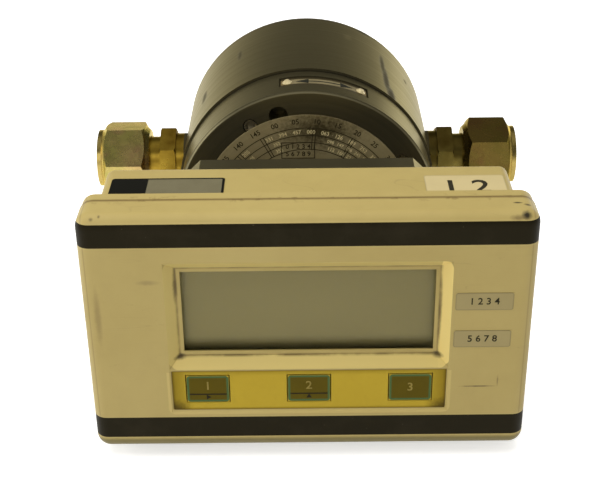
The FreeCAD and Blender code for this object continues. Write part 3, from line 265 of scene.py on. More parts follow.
@effect("Specks", Scale=200.0, Size=0.3, Share=0.1)
def specks(tree, given):
    """Scattered small dots, such as grit, pin holes and flecks."""
    cells = shader_node(tree, "ShaderNodeTexVoronoi", {
        "Vector": where(tree), "Scale": given["Scale"],
    })
    chance = shader_node(tree, "ShaderNodeSeparateColor", {"Color": cells.outputs["Color"]})
    rare = maths(tree, "LESS_THAN", chance.outputs[0], given["Share"])
    size = times(tree, chance.outputs[1], given["Size"])
    inside = maths(tree, "SUBTRACT", size, cells.outputs["Distance"])
    return [times(tree, remap(tree, inside, 0.0, 0.04), rare)]


@effect("Scratches", Turn=(0.0, 0.0, 0.0), Stretch=(30.0, 200.0, 200.0), Width=0.012)
def scratches(tree, given):
    """Thin wandering scratches along one direction, broken up by patches."""
    turned = shader_node(tree, "ShaderNodeMapping", {
        "Vector": where(tree), "Rotation": given["Turn"], "Scale": given["Stretch"],
    }).outputs["Vector"]
    line = apart(tree, noise(tree, 1.0, 1.0, turned, Distortion=0.3), 0.5)
    return [times(tree, fade(tree, line, 0.0, given["Width"]), mottle(tree, 25.0, 0.52, 0.62))]


@effect("Lathe lines", ("Mask", "Radius"), Scale=1500.0)
def lathe_lines(tree, given):
    """Fine rings left by turning about the meter's axis, on bands and on faces."""
    place = place_of(tree)
    radius = diagonal(tree, place["X"], maths(tree, "SUBTRACT", place["Z"], AXIS_Z))
    rings = shader_node(tree, "ShaderNodeCombineXYZ", {
        "X": times(tree, radius, given["Scale"]), "Y": times(tree, place["Y"], given["Scale"]),
        "Z": times(tree, place["X"], 6.0),
    }).outputs["Vector"]
    return noise(tree, 1.0, 3.0, rings, Roughness=0.6), radius


@effect("Smudge", Place=(0.0, 0.0, 0.0), Reach=(MM, MM, MM), Ragged=0.5)
def smudge(tree, given):
    """A soft ragged mark round one place, such as a dent, a stain or a rub."""
    away = where(tree)
    for label, operation in (("Place", "SUBTRACT"), ("Reach", "DIVIDE")):
        away = shader_node(tree, "ShaderNodeVectorMath", {0: away, 1: given[label]},
                           operation=operation).outputs["Vector"]
    far = shader_node(tree, "ShaderNodeVectorMath", {0: away}, operation="LENGTH").outputs["Value"]
    ragged = times(tree, noise(tree, 900.0, 3.0), given["Ragged"])
    return [fade(tree, maths(tree, "ADD", far, ragged), 0.55, 1.25)]


@effect("Rounded edge", ("Outside",), **dict.fromkeys(
    ("U", "V", "Centre U", "Centre V", "Half U", "Half V", "Corner"), 0.0))
def rounded_edge(tree, given):
    """How far a point on a face is outside a rounded rectangle; negative inside it."""
    past = [maths(tree, "SUBTRACT", apart(tree, given[along], given[f"Centre {along}"]),
                  maths(tree, "SUBTRACT", given[f"Half {along}"], given["Corner"]))
            for along in "UV"]
    outer = diagonal(tree, *(maths(tree, "MAXIMUM", value, 0.0) for value in past))
    inner = maths(tree, "MINIMUM", maths(tree, "MAXIMUM", *past), 0.0)
    return [maths(tree, "SUBTRACT", maths(tree, "ADD", outer, inner), given["Corner"])]


def outline_of(tree, node, corner, across="Z"):
    """How far a point is outside a node's own rounded outline, seen from the front or from above."""
    centre, high, place = middle(node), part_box(node)[1], place_of(tree)
    v = across.lower()
    centre_v, high_v = getattr(centre, v), getattr(high, v)
    return rounded_edge(tree, place["X"], place[across], centre.x, centre_v,
                        high.x - centre.x, high_v - centre_v, corner)


def material(build):
    """Turns build(tree, ...) into a function that gives the material, built only once for a name."""
    def make(name=build.__name__, *details, **options):
        if name not in bpy.data.materials:
            new = bpy.data.materials.new(name)
            new.use_nodes = True
            build(new.node_tree, *details, **options)
        return bpy.data.materials[name]
    return make


def surface(tree, colour, roughness, gloss=0.5, warm=False, height=None, bump=0.1, depth=0.0002,
            **others):
    """Feeds a material's shader with sockets or plain values."""
    shader = tree.nodes["Principled BSDF"]
    given = {"Base Color": colour, "Roughness": roughness, "Specular IOR Level": gloss, **others}
    if warm:
        given["Specular Tint"] = WARM_GLOSS
    for key, value in given.items():
        feed(tree, shader.inputs[key.replace("_", " ")], value)
    if height is not None:
        relief = shader_node(tree, "ShaderNodeBump",
                             {"Strength": bump, "Distance": depth, "Height": height})
        feed(tree, shader.inputs["Normal"], relief.outputs["Normal"])


# ---- what a user would change --------------------


def colour_property(name, description, default):
    return bpy.props.FloatVectorProperty(name=name, description=description, subtype="COLOR",
                                         size=3, min=0.0, max=1.0, default=default)


def size_property(name, description, default, least):
    return bpy.props.FloatProperty(name=name, description=description, unit="LENGTH",
                                   default=default * MM, min=least * MM)


class FinishSettings(bpy.types.PropertyGroup):
    """Colours of the meter's finishes."""

    cream: colour_property("Housing", "Colour of the yellowed housing", (0.410, 0.317, 0.108))
    print_black: colour_property("Bands", "Colour of the printed bands", (0.010, 0.008, 0.004))
    crystal: colour_property("Crystal", "Colour of the blank display", (0.214, 0.183, 0.072))
    gold: colour_property("Keypad film", "Colour of the keypad film", (0.46, 0.325, 0.030))
    key: colour_property("Keys", "Colour of the keys", (0.088, 0.064, 0.005))
    key_line: colour_property("Key outlines", "Colour of the lines round the keys",
                              (0.062, 0.120, 0.045))
    label: colour_property("Labels", "Colour of the stickers", (0.322, 0.256, 0.103))
    body: colour_property("Meter body", "Colour of the dark metal", (0.082, 0.072, 0.040))
    plate: colour_property("Plates", "Colour of the engraved plates", (0.36, 0.295, 0.15))
    brass: colour_property("Studs", "Colour of the studs", (0.22, 0.15, 0.020))
    zinc: colour_property("Nuts", "Colour of the passivated nuts", (0.42, 0.33, 0.13))


class PrintSettings(bpy.types.PropertyGroup):
    """Sizes of what is printed and engraved."""

    film: size_property("Print thickness", "Height of a printed line", 0.06, 0.01)
    key_width: size_property("Key outline width", "Width of the outline", 13.9, 1.0)
    key_height: size_property("Key outline height", "Height of the outline", 10.3, 1.0)
    key_border: size_property("Key border", "Width of a key's outline", 0.8, 0.1)
    ring_line: size_property("Engraved line", "Width of a line", 0.30, 0.1)


def finishes():
    return bpy.context.scene.meter_finish


def prints():
    return bpy.context.scene.meter_print


# ---- materials --------------------

# mottle takes a scale and the low and high end of its range; specks a scale, a size and a share;
# scratches a turn, a stretch and a width; smudge a place, a reach and how ragged it is.


@material
def aged_cream_housing(tree):
    """Cream housing plastic, yellowed and soiled, with a brown joint, stains, rubs and a dent, with
    painted highlights on the window's bevels, round the keypad and along the bands' edges, and painted
    shade under the lower band, in the recess steps and along the front's creases.
    """
    base = finishes().cream
    place = place_of(tree)
    worn = mottle(tree, 13.0, 0.35, 0.75)
    fine = mottle(tree, 150.0, 0.45, 0.9)
    dots = specks(tree, 125.0, 0.20, 0.05)
    lines = scratches(tree, (0.0, 0.5, 0.0), (30.0, 60.0, 420.0), 0.006)
    colour = blend_colour(tree, times(tree, worn, 0.6), scaled(base, 1.07),
                          scaled(base, 0.86, 0.83, 0.74))
    colour = tint(tree, colour, fine, 0.10, (0.20, 0.13, 0.04))
    colour = tint(tree, colour, dots, 0.75, (0.07, 0.045, 0.02))
    colour = tint(tree, colour, lines, 0.22, (0.17, 0.12, 0.05))

    low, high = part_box("window")
    window = outline_of(tree, "window", 1.5 * MM)
    # painted highlight: the window recess's bevel is lightened all round, as if lit from above
    lit_bevel_highlight = times(tree, remap(tree, window, -2.1 * MM, -1.9 * MM),
                  fade(tree, window, 1.3 * MM, 1.5 * MM))
    colour = tint(tree, colour, lit_bevel_highlight, 0.85, scaled(base, 1.32, 1.34, 1.28))
    # painted highlight: the bevel's right side is lightened further
    right_bevel_highlight = times(tree, lit_bevel_highlight, remap(tree, place["X"], high.x - 2.1 * MM, high.x - 1.9 * MM))
    colour = tint(tree, colour, right_bevel_highlight, 0.9, scaled(base, 1.95))
    # painted highlight: the lower bevel, which faces up, is lightened further
    mitre = maths(tree, "ADD", maths(tree, "ABSOLUTE", place["X"]), place["Z"])
    corner = high.x + low.z
    foot = times(tree, fade(tree, mitre, corner - 0.1 * MM, corner + 0.1 * MM),
                 fade(tree, place["Z"], low.z + 1.8 * MM, low.z + 2.2 * MM))
    colour = tint(tree, colour, times(tree, lit_bevel_highlight, foot), 0.9, scaled(base, 1.55, 1.56, 1.5))
    keypad = outline_of(tree, "keypad_membrane", 0.8 * MM)
    # painted highlight: a lighter band round the keypad's recess, where its chamfer would catch the
    # light
    keypad_chamfer_highlight = times(tree, fade(tree, keypad, 1.5 * MM, 1.8 * MM),
                   fade(tree, place["Z"], low.z - 2.6 * MM, low.z - 2.3 * MM))
    colour = tint(tree, colour, keypad_chamfer_highlight, 0.7, scaled(base, 1.3))
    lip_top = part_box("lower_strip")[0].z
    # painted shade: the lip below the lower band is darkened, as if shaded underneath
    lip_painted_shade = fade(tree, place["Z"], lip_top - 1.5 * MM, lip_top - 0.2 * MM)
    colour = tint(tree, colour, lip_painted_shade, 0.95, scaled(base, 0.42, 0.44, 0.40))

    joint = near(tree, place["Y"], SEAM_Y, 1.5 * MM)
    colour = tint(tree, colour, joint, 0.9, (0.10, 0.055, 0.012))
    beside = near(tree, place["Y"], SEAM_Y, 3.5 * MM)
    soil = mottle(tree, 330.0, 0.56, 0.66)
    colour = tint(tree, colour, times(tree, beside, soil), 0.65, (0.13, 0.08, 0.02))

    # painted shade: dark lines, broken up by a mottle, in the window recess's inner step and round the
    # keypad's edge, where shade gathers in the corners
    step = near(tree, window, -2.0 * MM, 0.6 * MM)
    recess_shade_breakup = mottle(tree, 120.0, 0.30, 0.62)
    colour = tint(tree, colour, times(tree, step, recess_shade_breakup), 0.8, (0.10, 0.065, 0.016))
    colour = tint(tree, colour, near(tree, keypad, 0.0, 0.35 * MM), 0.7, (0.10, 0.07, 0.016))
    half_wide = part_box("front_bezel")[1].x
    # painted shade: faint dark lines where the flat front turns into the side rolls
    crease_painted_shade = near(tree, maths(tree, "ABSOLUTE", place["X"]), half_wide - 2.2 * MM, 0.35 * MM)
    colour = tint(tree, colour, crease_painted_shade, 0.45, (0.18, 0.12, 0.04))
    for strip in ("upper_strip", "lower_strip"):
        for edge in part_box(strip):
            # painted highlight: a lighter line on the cream along each band's top and bottom edge
            border = near(tree, place["Z"], edge.z, 0.7 * MM)
            colour = tint(tree, colour, border, 0.45, scaled(base, 1.28, 1.28, 1.35))

    for spot, reach, share, paint in (
        ((67.2, -84.0, 91.5), (1.9, 3.5, 1.4), 0.97, (0.012, 0.009, 0.005)),
        ((64.6, -84.0, 90.9), (3.2, 3.0, 0.9), 0.60, (0.12, 0.08, 0.03)),
        ((65.2, -77.3, 92.7), (1.8, 0.7, 1.0), 0.85, (0.03, 0.02, 0.01)),
        ((68.0, -78.6, 92.3), (1.5, 0.9, 1.2), 0.80, (0.03, 0.02, 0.01)),
        ((-66.4, -84.2, 91.6), (0.9, 1.5, 0.7), 0.75, (0.08, 0.05, 0.02)),
        ((-64.0, -83.0, 92.2), (0.6, 0.9, 0.6), 0.75, (0.08, 0.05, 0.02)),
        ((-67.0, -84.8, 57.0), (1.3, 2.5, 12.0), 0.40, (0.17, 0.11, 0.04)),
        ((-50.5, -85.0, 69.6), (4.2, 1.5, 1.1), 0.40, (0.17, 0.12, 0.05)),
        ((55.4, -85.0, 29.1), (7.0, 1.5, 0.36), 0.80, (0.08, 0.05, 0.02)),
        ((61.8, -85.0, 31.2), (0.35, 1.5, 2.6), 0.55, (0.12, 0.08, 0.03)),
        ((-42.3, -81.6, 39.9), (2.6, 3.0, 1.3), 0.90, (0.05, 0.03, 0.01)),
        ((42.3, -81.6, 39.9), (2.6, 3.0, 1.3), 0.85, (0.05, 0.03, 0.01)),
        ((-42.3, -81.6, 66.0), (0.9, 3.0, 7.0), 0.70, (0.08, 0.05, 0.015)),
        ((42.3, -81.6, 58.0), (0.7, 3.0, 14.0), 0.60, (0.08, 0.05, 0.015)),
        ((-8.0, -84.2, 5.6), (5.5, 3.0, 1.0), 0.70, (0.10, 0.06, 0.02)),
        ((22.0, -84.2, 5.6), (3.0, 3.0, 0.9), 0.50, (0.12, 0.08, 0.03)),
    ):
        mark = smudge(tree, in_mm(spot), in_mm(reach))
        colour = tint(tree, colour, mark, share, paint)
    grain = noise(tree, 1400.0, 2.0)
    surface(tree, colour, between(tree, worn, 0.42, 0.58), height=grain, bump=0.08, depth=0.0001,
            gloss=0.3)


@material
def black_band_print(tree):
    """Warm black print, rubbed thin and dusty."""
    rub = mottle(tree, 60.0, 0.5, 0.8)
    dust = specks(tree, 420.0, 0.25, 0.12)
    colour = tint(tree, finishes().print_black, rub, 0.30, (0.045, 0.036, 0.022))
    colour = tint(tree, colour, dust, 0.22, (0.2, 0.17, 0.1))
    surface(tree, colour, between(tree, rub, 0.45, 0.6), gloss=0.09, warm=True)


@material
def clear_pane(tree):
    """Clear plastic, faintly wiped."""
    wipe = mottle(tree, 30.0, 0.4, 0.8)
    surface(tree, (0.94, 0.93, 0.88), between(tree, wipe, 0.04, 0.12), Transmission_Weight=1.0,
            IOR=1.05)


@material
def blank_crystal(tree):
    """Blank liquid crystal, darker towards the low edge that lies in the recess's shade."""
    base = finishes().crystal
    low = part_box("display_glass")[0]
    rise = place_of(tree)["Z"]
    shade = fade(tree, rise, low.z + 1.5 * MM, low.z + 7.5 * MM)
    cloud = mottle(tree, 18.0, 0.3, 0.8)
    colour = tint(tree, base, shade, 0.8, scaled(base, 0.2))
    colour = tint(tree, colour, cloud, 0.12, scaled(base, 0.7))
    surface(tree, colour, 0.32, gloss=0.3)


@material
def dusty_rubber(tree):
    """Black rubber under thin dust."""
    dust = mottle(tree, 120.0, 0.4, 0.8)
    colour = tint(tree, (0.018, 0.018, 0.017), dust, 1.0, (0.05, 0.048, 0.042))
    surface(tree, colour, between(tree, dust, 0.6, 0.85), height=dust)


@material
def warm_seal_fibre(tree):
    """The soiled fibre washers under the studs' collars."""
    dust = mottle(tree, 240.0, 0.4, 0.8)
    colour = tint(tree, (0.030, 0.024, 0.010), dust, 1.0, (0.06, 0.048, 0.020))
    surface(tree, colour, 0.8, gloss=0.1)


@material
def moulded_black(tree):
    """Fine-grained black plastic."""
    grain = mottle(tree, 900.0, 0.3, 0.8)
    colour = tint(tree, (0.02, 0.02, 0.02), grain, 1.0, (0.04, 0.04, 0.038))
    surface(tree, colour, between(tree, grain, 0.4, 0.6), height=grain, bump=0.15, gloss=0.25,
            warm=True)


@material
def keypad_gold(tree):
    """Golden film, rubbed in the middle, with painted shade at its ends, along its top, along its edge
    and in its low corners, where the recess walls shade it.
    """
    worn = mottle(tree, 45.0, 0.4, 0.75)
    fine = mottle(tree, 400.0, 0.5, 0.8)
    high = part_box("keypad_membrane")[1]
    place = place_of(tree)
    ends = remap(tree, maths(tree, "ABSOLUTE", place["X"]), high.x - 7.0 * MM, high.x)
    top = remap(tree, place["Z"], high.z - 2.2 * MM, high.z)
    # painted shade: the film's ends and top are darkened, where the recess walls shade it
    end_and_top_painted_shade = maths(tree, "MAXIMUM", times(tree, ends, 0.75), times(tree, top, 0.45))
    # painted shade: a dark line along the film's edge in its recess
    edge = near(tree, outline_of(tree, "keypad_membrane", 0.8 * MM), 0.0, 0.9 * MM)
    colour = tint(tree, finishes().gold, worn, 0.22, (0.36, 0.24, 0.02))
    colour = tint(tree, colour, fine, 0.10, (0.24, 0.15, 0.02))
    colour = tint(tree, colour, end_and_top_painted_shade, 1.0, (0.17, 0.11, 0.004))
    colour = tint(tree, colour, edge, 0.7, (0.08, 0.048, 0.004))
    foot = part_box("keypad_membrane")[0].z
    # painted shade: dark patches in the film's low corners
    for side in (-high.x, high.x):
        corner = smudge(tree, (side, high.y, foot), in_mm((6.5, 4.0, 4.5)))
        colour = tint(tree, colour, corner, 0.8, (0.045, 0.028, 0.004))
    surface(tree, colour, between(tree, worn, 0.34, 0.5), gloss=0.12, warm=True)


@material
def key_cap(tree, key):
    """A key's dark field inside a rounded green outline, with the film's gold outside it."""
    centre, place = middle(key), place_of(tree)
    outside = rounded_edge(tree, place["X"], place["Z"], centre.x, centre.z, prints().key_width / 2,
                           prints().key_height / 2, 1.1 * MM)
    rub = mottle(tree, 180.0, 0.4, 0.75)
    colour = tint(tree, finishes().key, rub, 0.35, scaled(finishes().key, 1.35, 1.35, 1.2))
    border = prints().key_border
    line = remap(tree, outside, -1.15 * border, -0.85 * border)
    colour = tint(tree, colour, line, 0.92, finishes().key_line)
    colour = tint(tree, colour, remap(tree, outside, -0.15 * MM, 0.05 * MM), 1.0, finishes().gold)
    surface(tree, colour, between(tree, rub, 0.42, 0.55), gloss=0.08, warm=True)


@material
def ink(tree, colour):
    """A printed line or figure, slightly uneven where the ink has worn."""
    rub = mottle(tree, 500.0, 0.45, 0.8)
    surface(tree, tint(tree, colour, rub, 1.0, scaled(colour, 0.72)), 0.5, gloss=0.08, warm=True)


@material
def paper_film(tree, node, colour, across="Z", corner=0.8 * MM):
    """A sticker's pale film with rounded corners, a soiled edge and faint stains."""
    outside = outline_of(tree, node, corner, across)
    stain = mottle(tree, 70.0, 0.4, 0.8)
    paint = tint(tree, colour, stain, 0.4, scaled(colour, 0.78))
    paint = tint(tree, paint, near(tree, outside, 0.0, 0.45 * MM), 0.5, scaled(colour, 0.42))
    paint = tint(tree, paint, remap(tree, outside, 0.0, 0.05 * MM), 1.0, finishes().cream)
    surface(tree, paint, 0.5, gloss=0.3)


@material
def foil_label(tree):
    """Grey foil inside a thin black border, with a black end."""
    outside = outline_of(tree, "grey_label", 1.2 * MM, "Y")
    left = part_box("grey_label")[0].x
    field = times(tree, maths(tree, "LESS_THAN", outside, -0.85 * MM),
                  maths(tree, "GREATER_THAN", place_of(tree)["X"], left + 12.4 * MM))
    rub = mottle(tree, 220.0, 0.4, 0.8)
    nick = specks(tree, 260.0, 0.3, 0.06)
    grey = tint(tree, (0.158, 0.140, 0.080), rub, 0.4, (0.115, 0.100, 0.054))
    grey = tint(tree, grey, nick, 0.5, (0.35, 0.31, 0.20))
    colour = blend_colour(tree, field, (0.006, 0.006, 0.004), grey)
    colour = tint(tree, colour, remap(tree, outside, 0.0, 0.05 * MM), 1.0, finishes().cream)
    surface(tree, colour, 0.5, gloss=0.1, warm=True)


@material
def circuit_laminate(tree):
    """Green board with a fine pattern of tracks."""
    track = shader_node(tree, "ShaderNodeTexBrick", {
        "Vector": where(tree), "Color1": (0.03, 0.16, 0.07), "Color2": (0.025, 0.14, 0.06),
        "Mortar": (0.06, 0.26, 0.12), "Scale": 160.0, "Mortar Size": 0.03,
    }).outputs["Color"]
    surface(tree, track, 0.35)


@material
def plated_steel(tree):
    """Zinc-plated steel, dull in patches."""
    dull = mottle(tree, 260.0, 0.35, 0.75)
    colour = tint(tree, (0.42, 0.38, 0.28), dull, 1.0, (0.20, 0.175, 0.115))
    surface(tree, colour, between(tree, dull, 0.25, 0.5), Metallic=1.0)


@material
def dark_drum_metal(tree):
    """Dark satin finish over turned metal, with a painted shade strip along its upper right, nicks and
    rubbed patches.
    """
    base = finishes().body
    rings = lathe_lines(tree, 1100.0)
    broad = mottle(tree, 22.0, 0.35, 0.75)
    nick = specks(tree, 90.0, 0.16, 0.10)
    marks = scratches(tree, (0.0, 0.3, 0.2), (25.0, 380.0, 25.0), 0.008)
    line = remap(tree, rings["Mask"], 0.35, 0.7)
    colour = tint(tree, base, line, 0.45, scaled(base, 1.35))
    colour = tint(tree, colour, broad, 0.40, scaled(base, 0.62))
    colour = tint(tree, colour, times(tree, marks, 0.5), 0.6, scaled(base, 2.6))
    colour = tint(tree, colour, nick, 0.55, scaled(base, 0.3))
    # this mask holds the nicks, the dark dirt marks and the painted shade strip below, and dulls the
    # finish where they are
    dirt = between(tree, nick, 0.0, 0.5)
    for spot, reach, share, paint in (
        # the first three marks are painted shade: a long dark strip along the drum's upper right
        ((31.8, 40.0, 87.7), (1.7, 15.0, 1.9), 0.85, (0.042, 0.035, 0.012)),
        ((33.0, 27.0, 86.7), (2.2, 9.0, 2.6), 0.90, (0.036, 0.029, 0.010)),
        ((31.2, 56.0, 88.2), (1.2, 12.0, 1.5), 0.75, (0.050, 0.042, 0.015)),
        ((41.3, 64.0, 77.6), (1.2, 2.2, 1.6), 0.6, scaled(base, 0.4)),
        ((17.5, 68.0, 95.9), (2.6, 4.5, 1.6), 0.5, scaled(base, 2.2)),
        ((24.5, 82.0, 92.7), (4.0, 1.6, 2.6), 0.6, scaled(base, 0.4)),
        ((-26.7, 60.0, 91.3), (1.0, 6.0, 1.6), 0.4, scaled(base, 0.5)),
        ((-41.0, 48.0, 78.0), (1.5, 7.0, 2.6), 0.6, scaled(base, 0.45)),
    ):
        mark = smudge(tree, in_mm(spot), in_mm(reach))
        colour = tint(tree, colour, mark, share, paint)
        if paint[0] < base[0]:
            dirt = maths(tree, "MAXIMUM", dirt, times(tree, mark, share))
    finish = maths(tree, "ADD", between(tree, line, 0.30, 0.40), times(tree, dirt, 0.5), clamp=True)
    surface(tree, colour, finish, Metallic=between(tree, dirt, 0.75, 0.0), height=rings["Mask"],
            bump=0.10, depth=0.00006, warm=True)


@material
def dark_cover(tree, lift):
    """The cover's and the adapter plate's dark finish, with a painted highlight along the cover's
    front edge.
    """
    base = scaled(finishes().body, lift)
    rings = lathe_lines(tree, 1500.0)
    line = remap(tree, rings["Mask"], 0.35, 0.7)
    broad = mottle(tree, 30.0, 0.35, 0.75)
    colour = tint(tree, scaled(base, 0.8), line, 0.4, scaled(base, 1.2))
    colour = tint(tree, colour, broad, 0.35, scaled(base, 0.45))
    # painted highlight: a lighter line on the cover's front edge chamfer
    cover_edge_highlight = times(tree, near(tree, rings["Radius"], 49.1 * MM, 0.6 * MM),
                 near(tree, place_of(tree)["Y"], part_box("front_cover")[0].y, 0.9 * MM))
    colour = tint(tree, colour, cover_edge_highlight, 0.8, scaled(base, 3.2))
    surface(tree, colour, between(tree, line, 0.3, 0.42), Metallic=0.7, height=rings["Mask"],
            bump=0.10, depth=0.00006, warm=True)


@material
def engraved_metal(tree, lift=1.0, stained=False):
    """A satin plate with fine turned lines, brown tarnish and, on the dial, a broad stain."""
    rings = lathe_lines(tree, 2600.0)
    line = remap(tree, rings["Mask"], 0.3, 0.7)
    tarnish = mottle(tree, 60.0, 0.35, 0.7)
    fleck = specks(tree, 520.0, 0.3, 0.10)
    base = scaled(finishes().plate, lift)
    colour = tint(tree, base, tarnish, 0.6, scaled(base, 0.5, 0.46, 0.4))
    colour = tint(tree, colour, line, 0.25, scaled(base, 1.4))
    if stained:
        stain = smudge(tree, in_mm((5.0, 2.6, 83.0)), in_mm((24.0, 6.0, 12.0)), 0.9)
        colour = tint(tree, colour, stain, 0.95, scaled(base, 0.13, 0.12, 0.09))
    colour = tint(tree, colour, fleck, 0.35, scaled(base, 2.4))
    surface(tree, colour, between(tree, tarnish, 0.28, 0.45), Metallic=0.35, height=rings["Mask"],
            bump=0.08, depth=0.00005, warm=True)


@material
def arrow_plate_metal(tree):
    """The arrow's curved plate: a pale worn middle between dark brown edges, soiled at its ends."""
    low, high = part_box("arrow_plate")
    place = place_of(tree)
    base = finishes().plate
    centre, wide = (low + high) / 2, high - low
    edge = remap(tree, apart(tree, place["Y"], centre.y), 0.22 * wide.y, 0.32 * wide.y)
    ends = remap(tree, apart(tree, place["X"], centre.x), 0.36 * wide.x, 0.46 * wide.x)
    tarnish = mottle(tree, 220.0, 0.35, 0.7)
    colour = tint(tree, scaled(base, 0.8), tarnish, 0.6, scaled(base, 0.4))
    colour = tint(tree, colour, ends, 0.7, (0.20, 0.13, 0.04))
    colour = tint(tree, colour, edge, 0.95, (0.030, 0.022, 0.008))
    surface(tree, colour, between(tree, tarnish, 0.3, 0.45), Metallic=0.35, warm=True)


@material
def dull_brass(tree, lift):
    """Brass that has gone brown in patches."""
    tarnish = mottle(tree, 90.0, 0.35, 0.7)
    base = scaled(finishes().brass, *lift)
    colour = tint(tree, base, tarnish, 1.0, scaled(base, 0.5, 0.42, 0.3))
    surface(tree, colour, between(tree, tarnish, 0.26, 0.42), Metallic=0.95, warm=True)


@material
def rivet_brass(tree):
    """Pale brass, brown in places."""
    tarnish = mottle(tree, 300.0, 0.4, 0.7)
    colour = tint(tree, (0.80, 0.68, 0.38), tarnish, 0.6, (0.36, 0.25, 0.09))
    surface(tree, colour, 0.35, Metallic=0.4)


@material
def passivated_zinc(tree, lift):
    """Passivated zinc: straw yellow with green and violet patches, and a painted highlight on the
    nut's outer rim.
    """
    base = scaled(finishes().zinc, *lift)
    green = mottle(tree, 60.0, 0.42, 0.62)
    violet = mottle(tree, 95.0, 0.5, 0.66)
    dull = mottle(tree, 300.0, 0.4, 0.8)
    nick = specks(tree, 300.0, 0.2, 0.08)
    colour = tint(tree, base, green, 0.7, scaled(base, 0.72, 0.88, 0.62))
    colour = tint(tree, colour, violet, 0.6, scaled(base, 0.86, 0.62, 0.95))
    colour = tint(tree, colour, nick, 0.4, scaled(base, 0.3))
    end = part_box("outlet_nut")[1].x
    # painted highlight: a lighter ring on the nut's outer rim, where its chamfer catches the light
    rim = remap(tree, maths(tree, "ABSOLUTE", place_of(tree)["X"]), end - 3.0 * MM, end - 2.6 * MM)
    colour = tint(tree, colour, rim, 0.8, scaled(finishes().zinc, 1.05, 1.0, 0.75))
    surface(tree, colour, between(tree, dull, 0.24, 0.38), Metallic=0.95, warm=True)


@material
def wheel_polymer(tree):
    """Off-white plastic, slightly cloudy."""
    cloud = mottle(tree, 120.0, 0.3, 0.8)
    colour = tint(tree, (0.70, 0.69, 0.63), cloud, 1.0, (0.60, 0.58, 0.50))
    surface(tree, colour, 0.4, Subsurface_Weight=0.1)


@material
def sintered_ferrite(tree):
    """Grainy dark magnet."""
    grain = mottle(tree, 1200.0, 0.3, 0.8)
    colour = tint(tree, (0.03, 0.03, 0.032), grain, 1.0, (0.07, 0.07, 0.075))
    surface(tree, colour, 0.55, Metallic=0.3, height=grain, bump=0.2)


# ---- operators --------------------


class FLOWMETER_OT_head(bpy.types.Operator):
    """Finish the housing of the display head and its printed bands"""

    bl_idname = "flowmeter.head"
    bl_label = "Display head"

    def execute(self, context):
        finish_cad(aged_cream_housing(), "front_bezel", "rear_case")
        finish_cad(black_band_print(), "upper_strip", "lower_strip")
        return {"FINISHED"}


class FLOWMETER_OT_display(bpy.types.Operator):
    """Finish the window and the liquid crystal behind it"""

    bl_idname = "flowmeter.display"
    bl_label = "Display"

    def execute(self, context):
        finish_cad(clear_pane(), "window")
        finish_cad(blank_crystal(), "display_glass")
        return {"FINISHED"}


FACING_FRONT = Matrix.Rotation(math.radians(90), 4, "X")
BOLDER = 0.012


def add_frame(bm, centre, wide, high, border, thick):
    """A flat rectangular outline that lies on a face looking along -Y."""
    for sign in (-1, 1):
        add_block(bm, centre + Vector((sign * (wide - border) / 2, -thick / 2, 0)),
                  (border, thick, high))
        add_block(bm, centre + Vector((0, -thick / 2, sign * (high - border) / 2)),
                  (wide - 2 * border, thick, border))


def add_triangle(bm, centre, size, turn, thick):
    """A small triangular pointer that lies on a face looking along -Y."""
    upright = Matrix.Rotation(math.radians(turn), 4, "Y") @ FACING_FRONT
    bmesh.ops.create_cone(bm, cap_ends=True, segments=3, radius1=size, radius2=size, depth=thick,
                          matrix=Matrix.Translation(centre) @ upright)


def add_figures(bm, text, size, matrix, thick):
    """Plain figures turned into a mesh and added in place."""
    curve = bpy.data.curves.new("figures", "FONT")
    curve.body = text
    curve.size = size
    curve.extrude = thick / 2
    curve.offset = BOLDER * size
    curve.align_x = "CENTER"
    curve.align_y = "CENTER"
    curve.resolution_u = 3
    holder = add_object("figures", curve)
    bpy.context.view_layer.update()
    mesh = bpy.data.meshes.new_from_object(holder)
    mesh.transform(matrix)
    bm.from_mesh(mesh)
    bpy.data.objects.remove(holder)
    bpy.data.curves.remove(curve)
    bpy.data.meshes.remove(mesh)


class FLOWMETER_OT_keypad(bpy.types.Operator):
    """Finish the keypad's film and its three keys, with their outlines and signs"""

    bl_idname = "flowmeter.keypad"
    bl_label = "Keypad"

    FIGURE, FIGURE_RISE = 4.4 * MM, 1.1 * MM
    RULE_DROP, RULE_WIDTH = 2.1 * MM, 0.45 * MM
    POINTER_DROP, POINTER = 3.25 * MM, 1.05 * MM

    def execute(self, context):
        finish_cad(keypad_gold(), "keypad_membrane")
        sign_ink = ink("key_sign_ink", (0.26, 0.20, 0.05))
        dark_ink = ink("key_dark_ink", (0.02, 0.018, 0.01))
        film, border, wide = prints().film, prints().key_border, prints().key_width
        for key, figure, turn in zip(KEYS, "123", (90, 0, None)):
            finish_cad(key_cap(f"{key}_cap_print", key), key)
            body = frame["nodes"][key]["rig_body"]
            cap = Vector((middle(key).x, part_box(key)[0].y, middle(key).z))
            front = cap + Vector((0, -film / 2, 0))
            rise = 0.0 if turn is None else self.FIGURE_RISE
            bm = bmesh.new()
            add_figures(bm, figure, self.FIGURE,
                        Matrix.Translation(front + Vector((0, 0, rise))) @ FACING_FRONT, film)
            piece(f"{key}_figure", bm, body, sign_ink)
            if turn is not None:
                bm = bmesh.new()
                add_block(bm, front - Vector((0, 0, self.RULE_DROP)),
                          (wide - 2 * border, film, self.RULE_WIDTH))
                add_triangle(bm, front - Vector((0, 0, self.POINTER_DROP)), self.POINTER, turn, film)
                piece(f"{key}_pointer", bm, body, dark_ink)
        return {"FINISHED"}


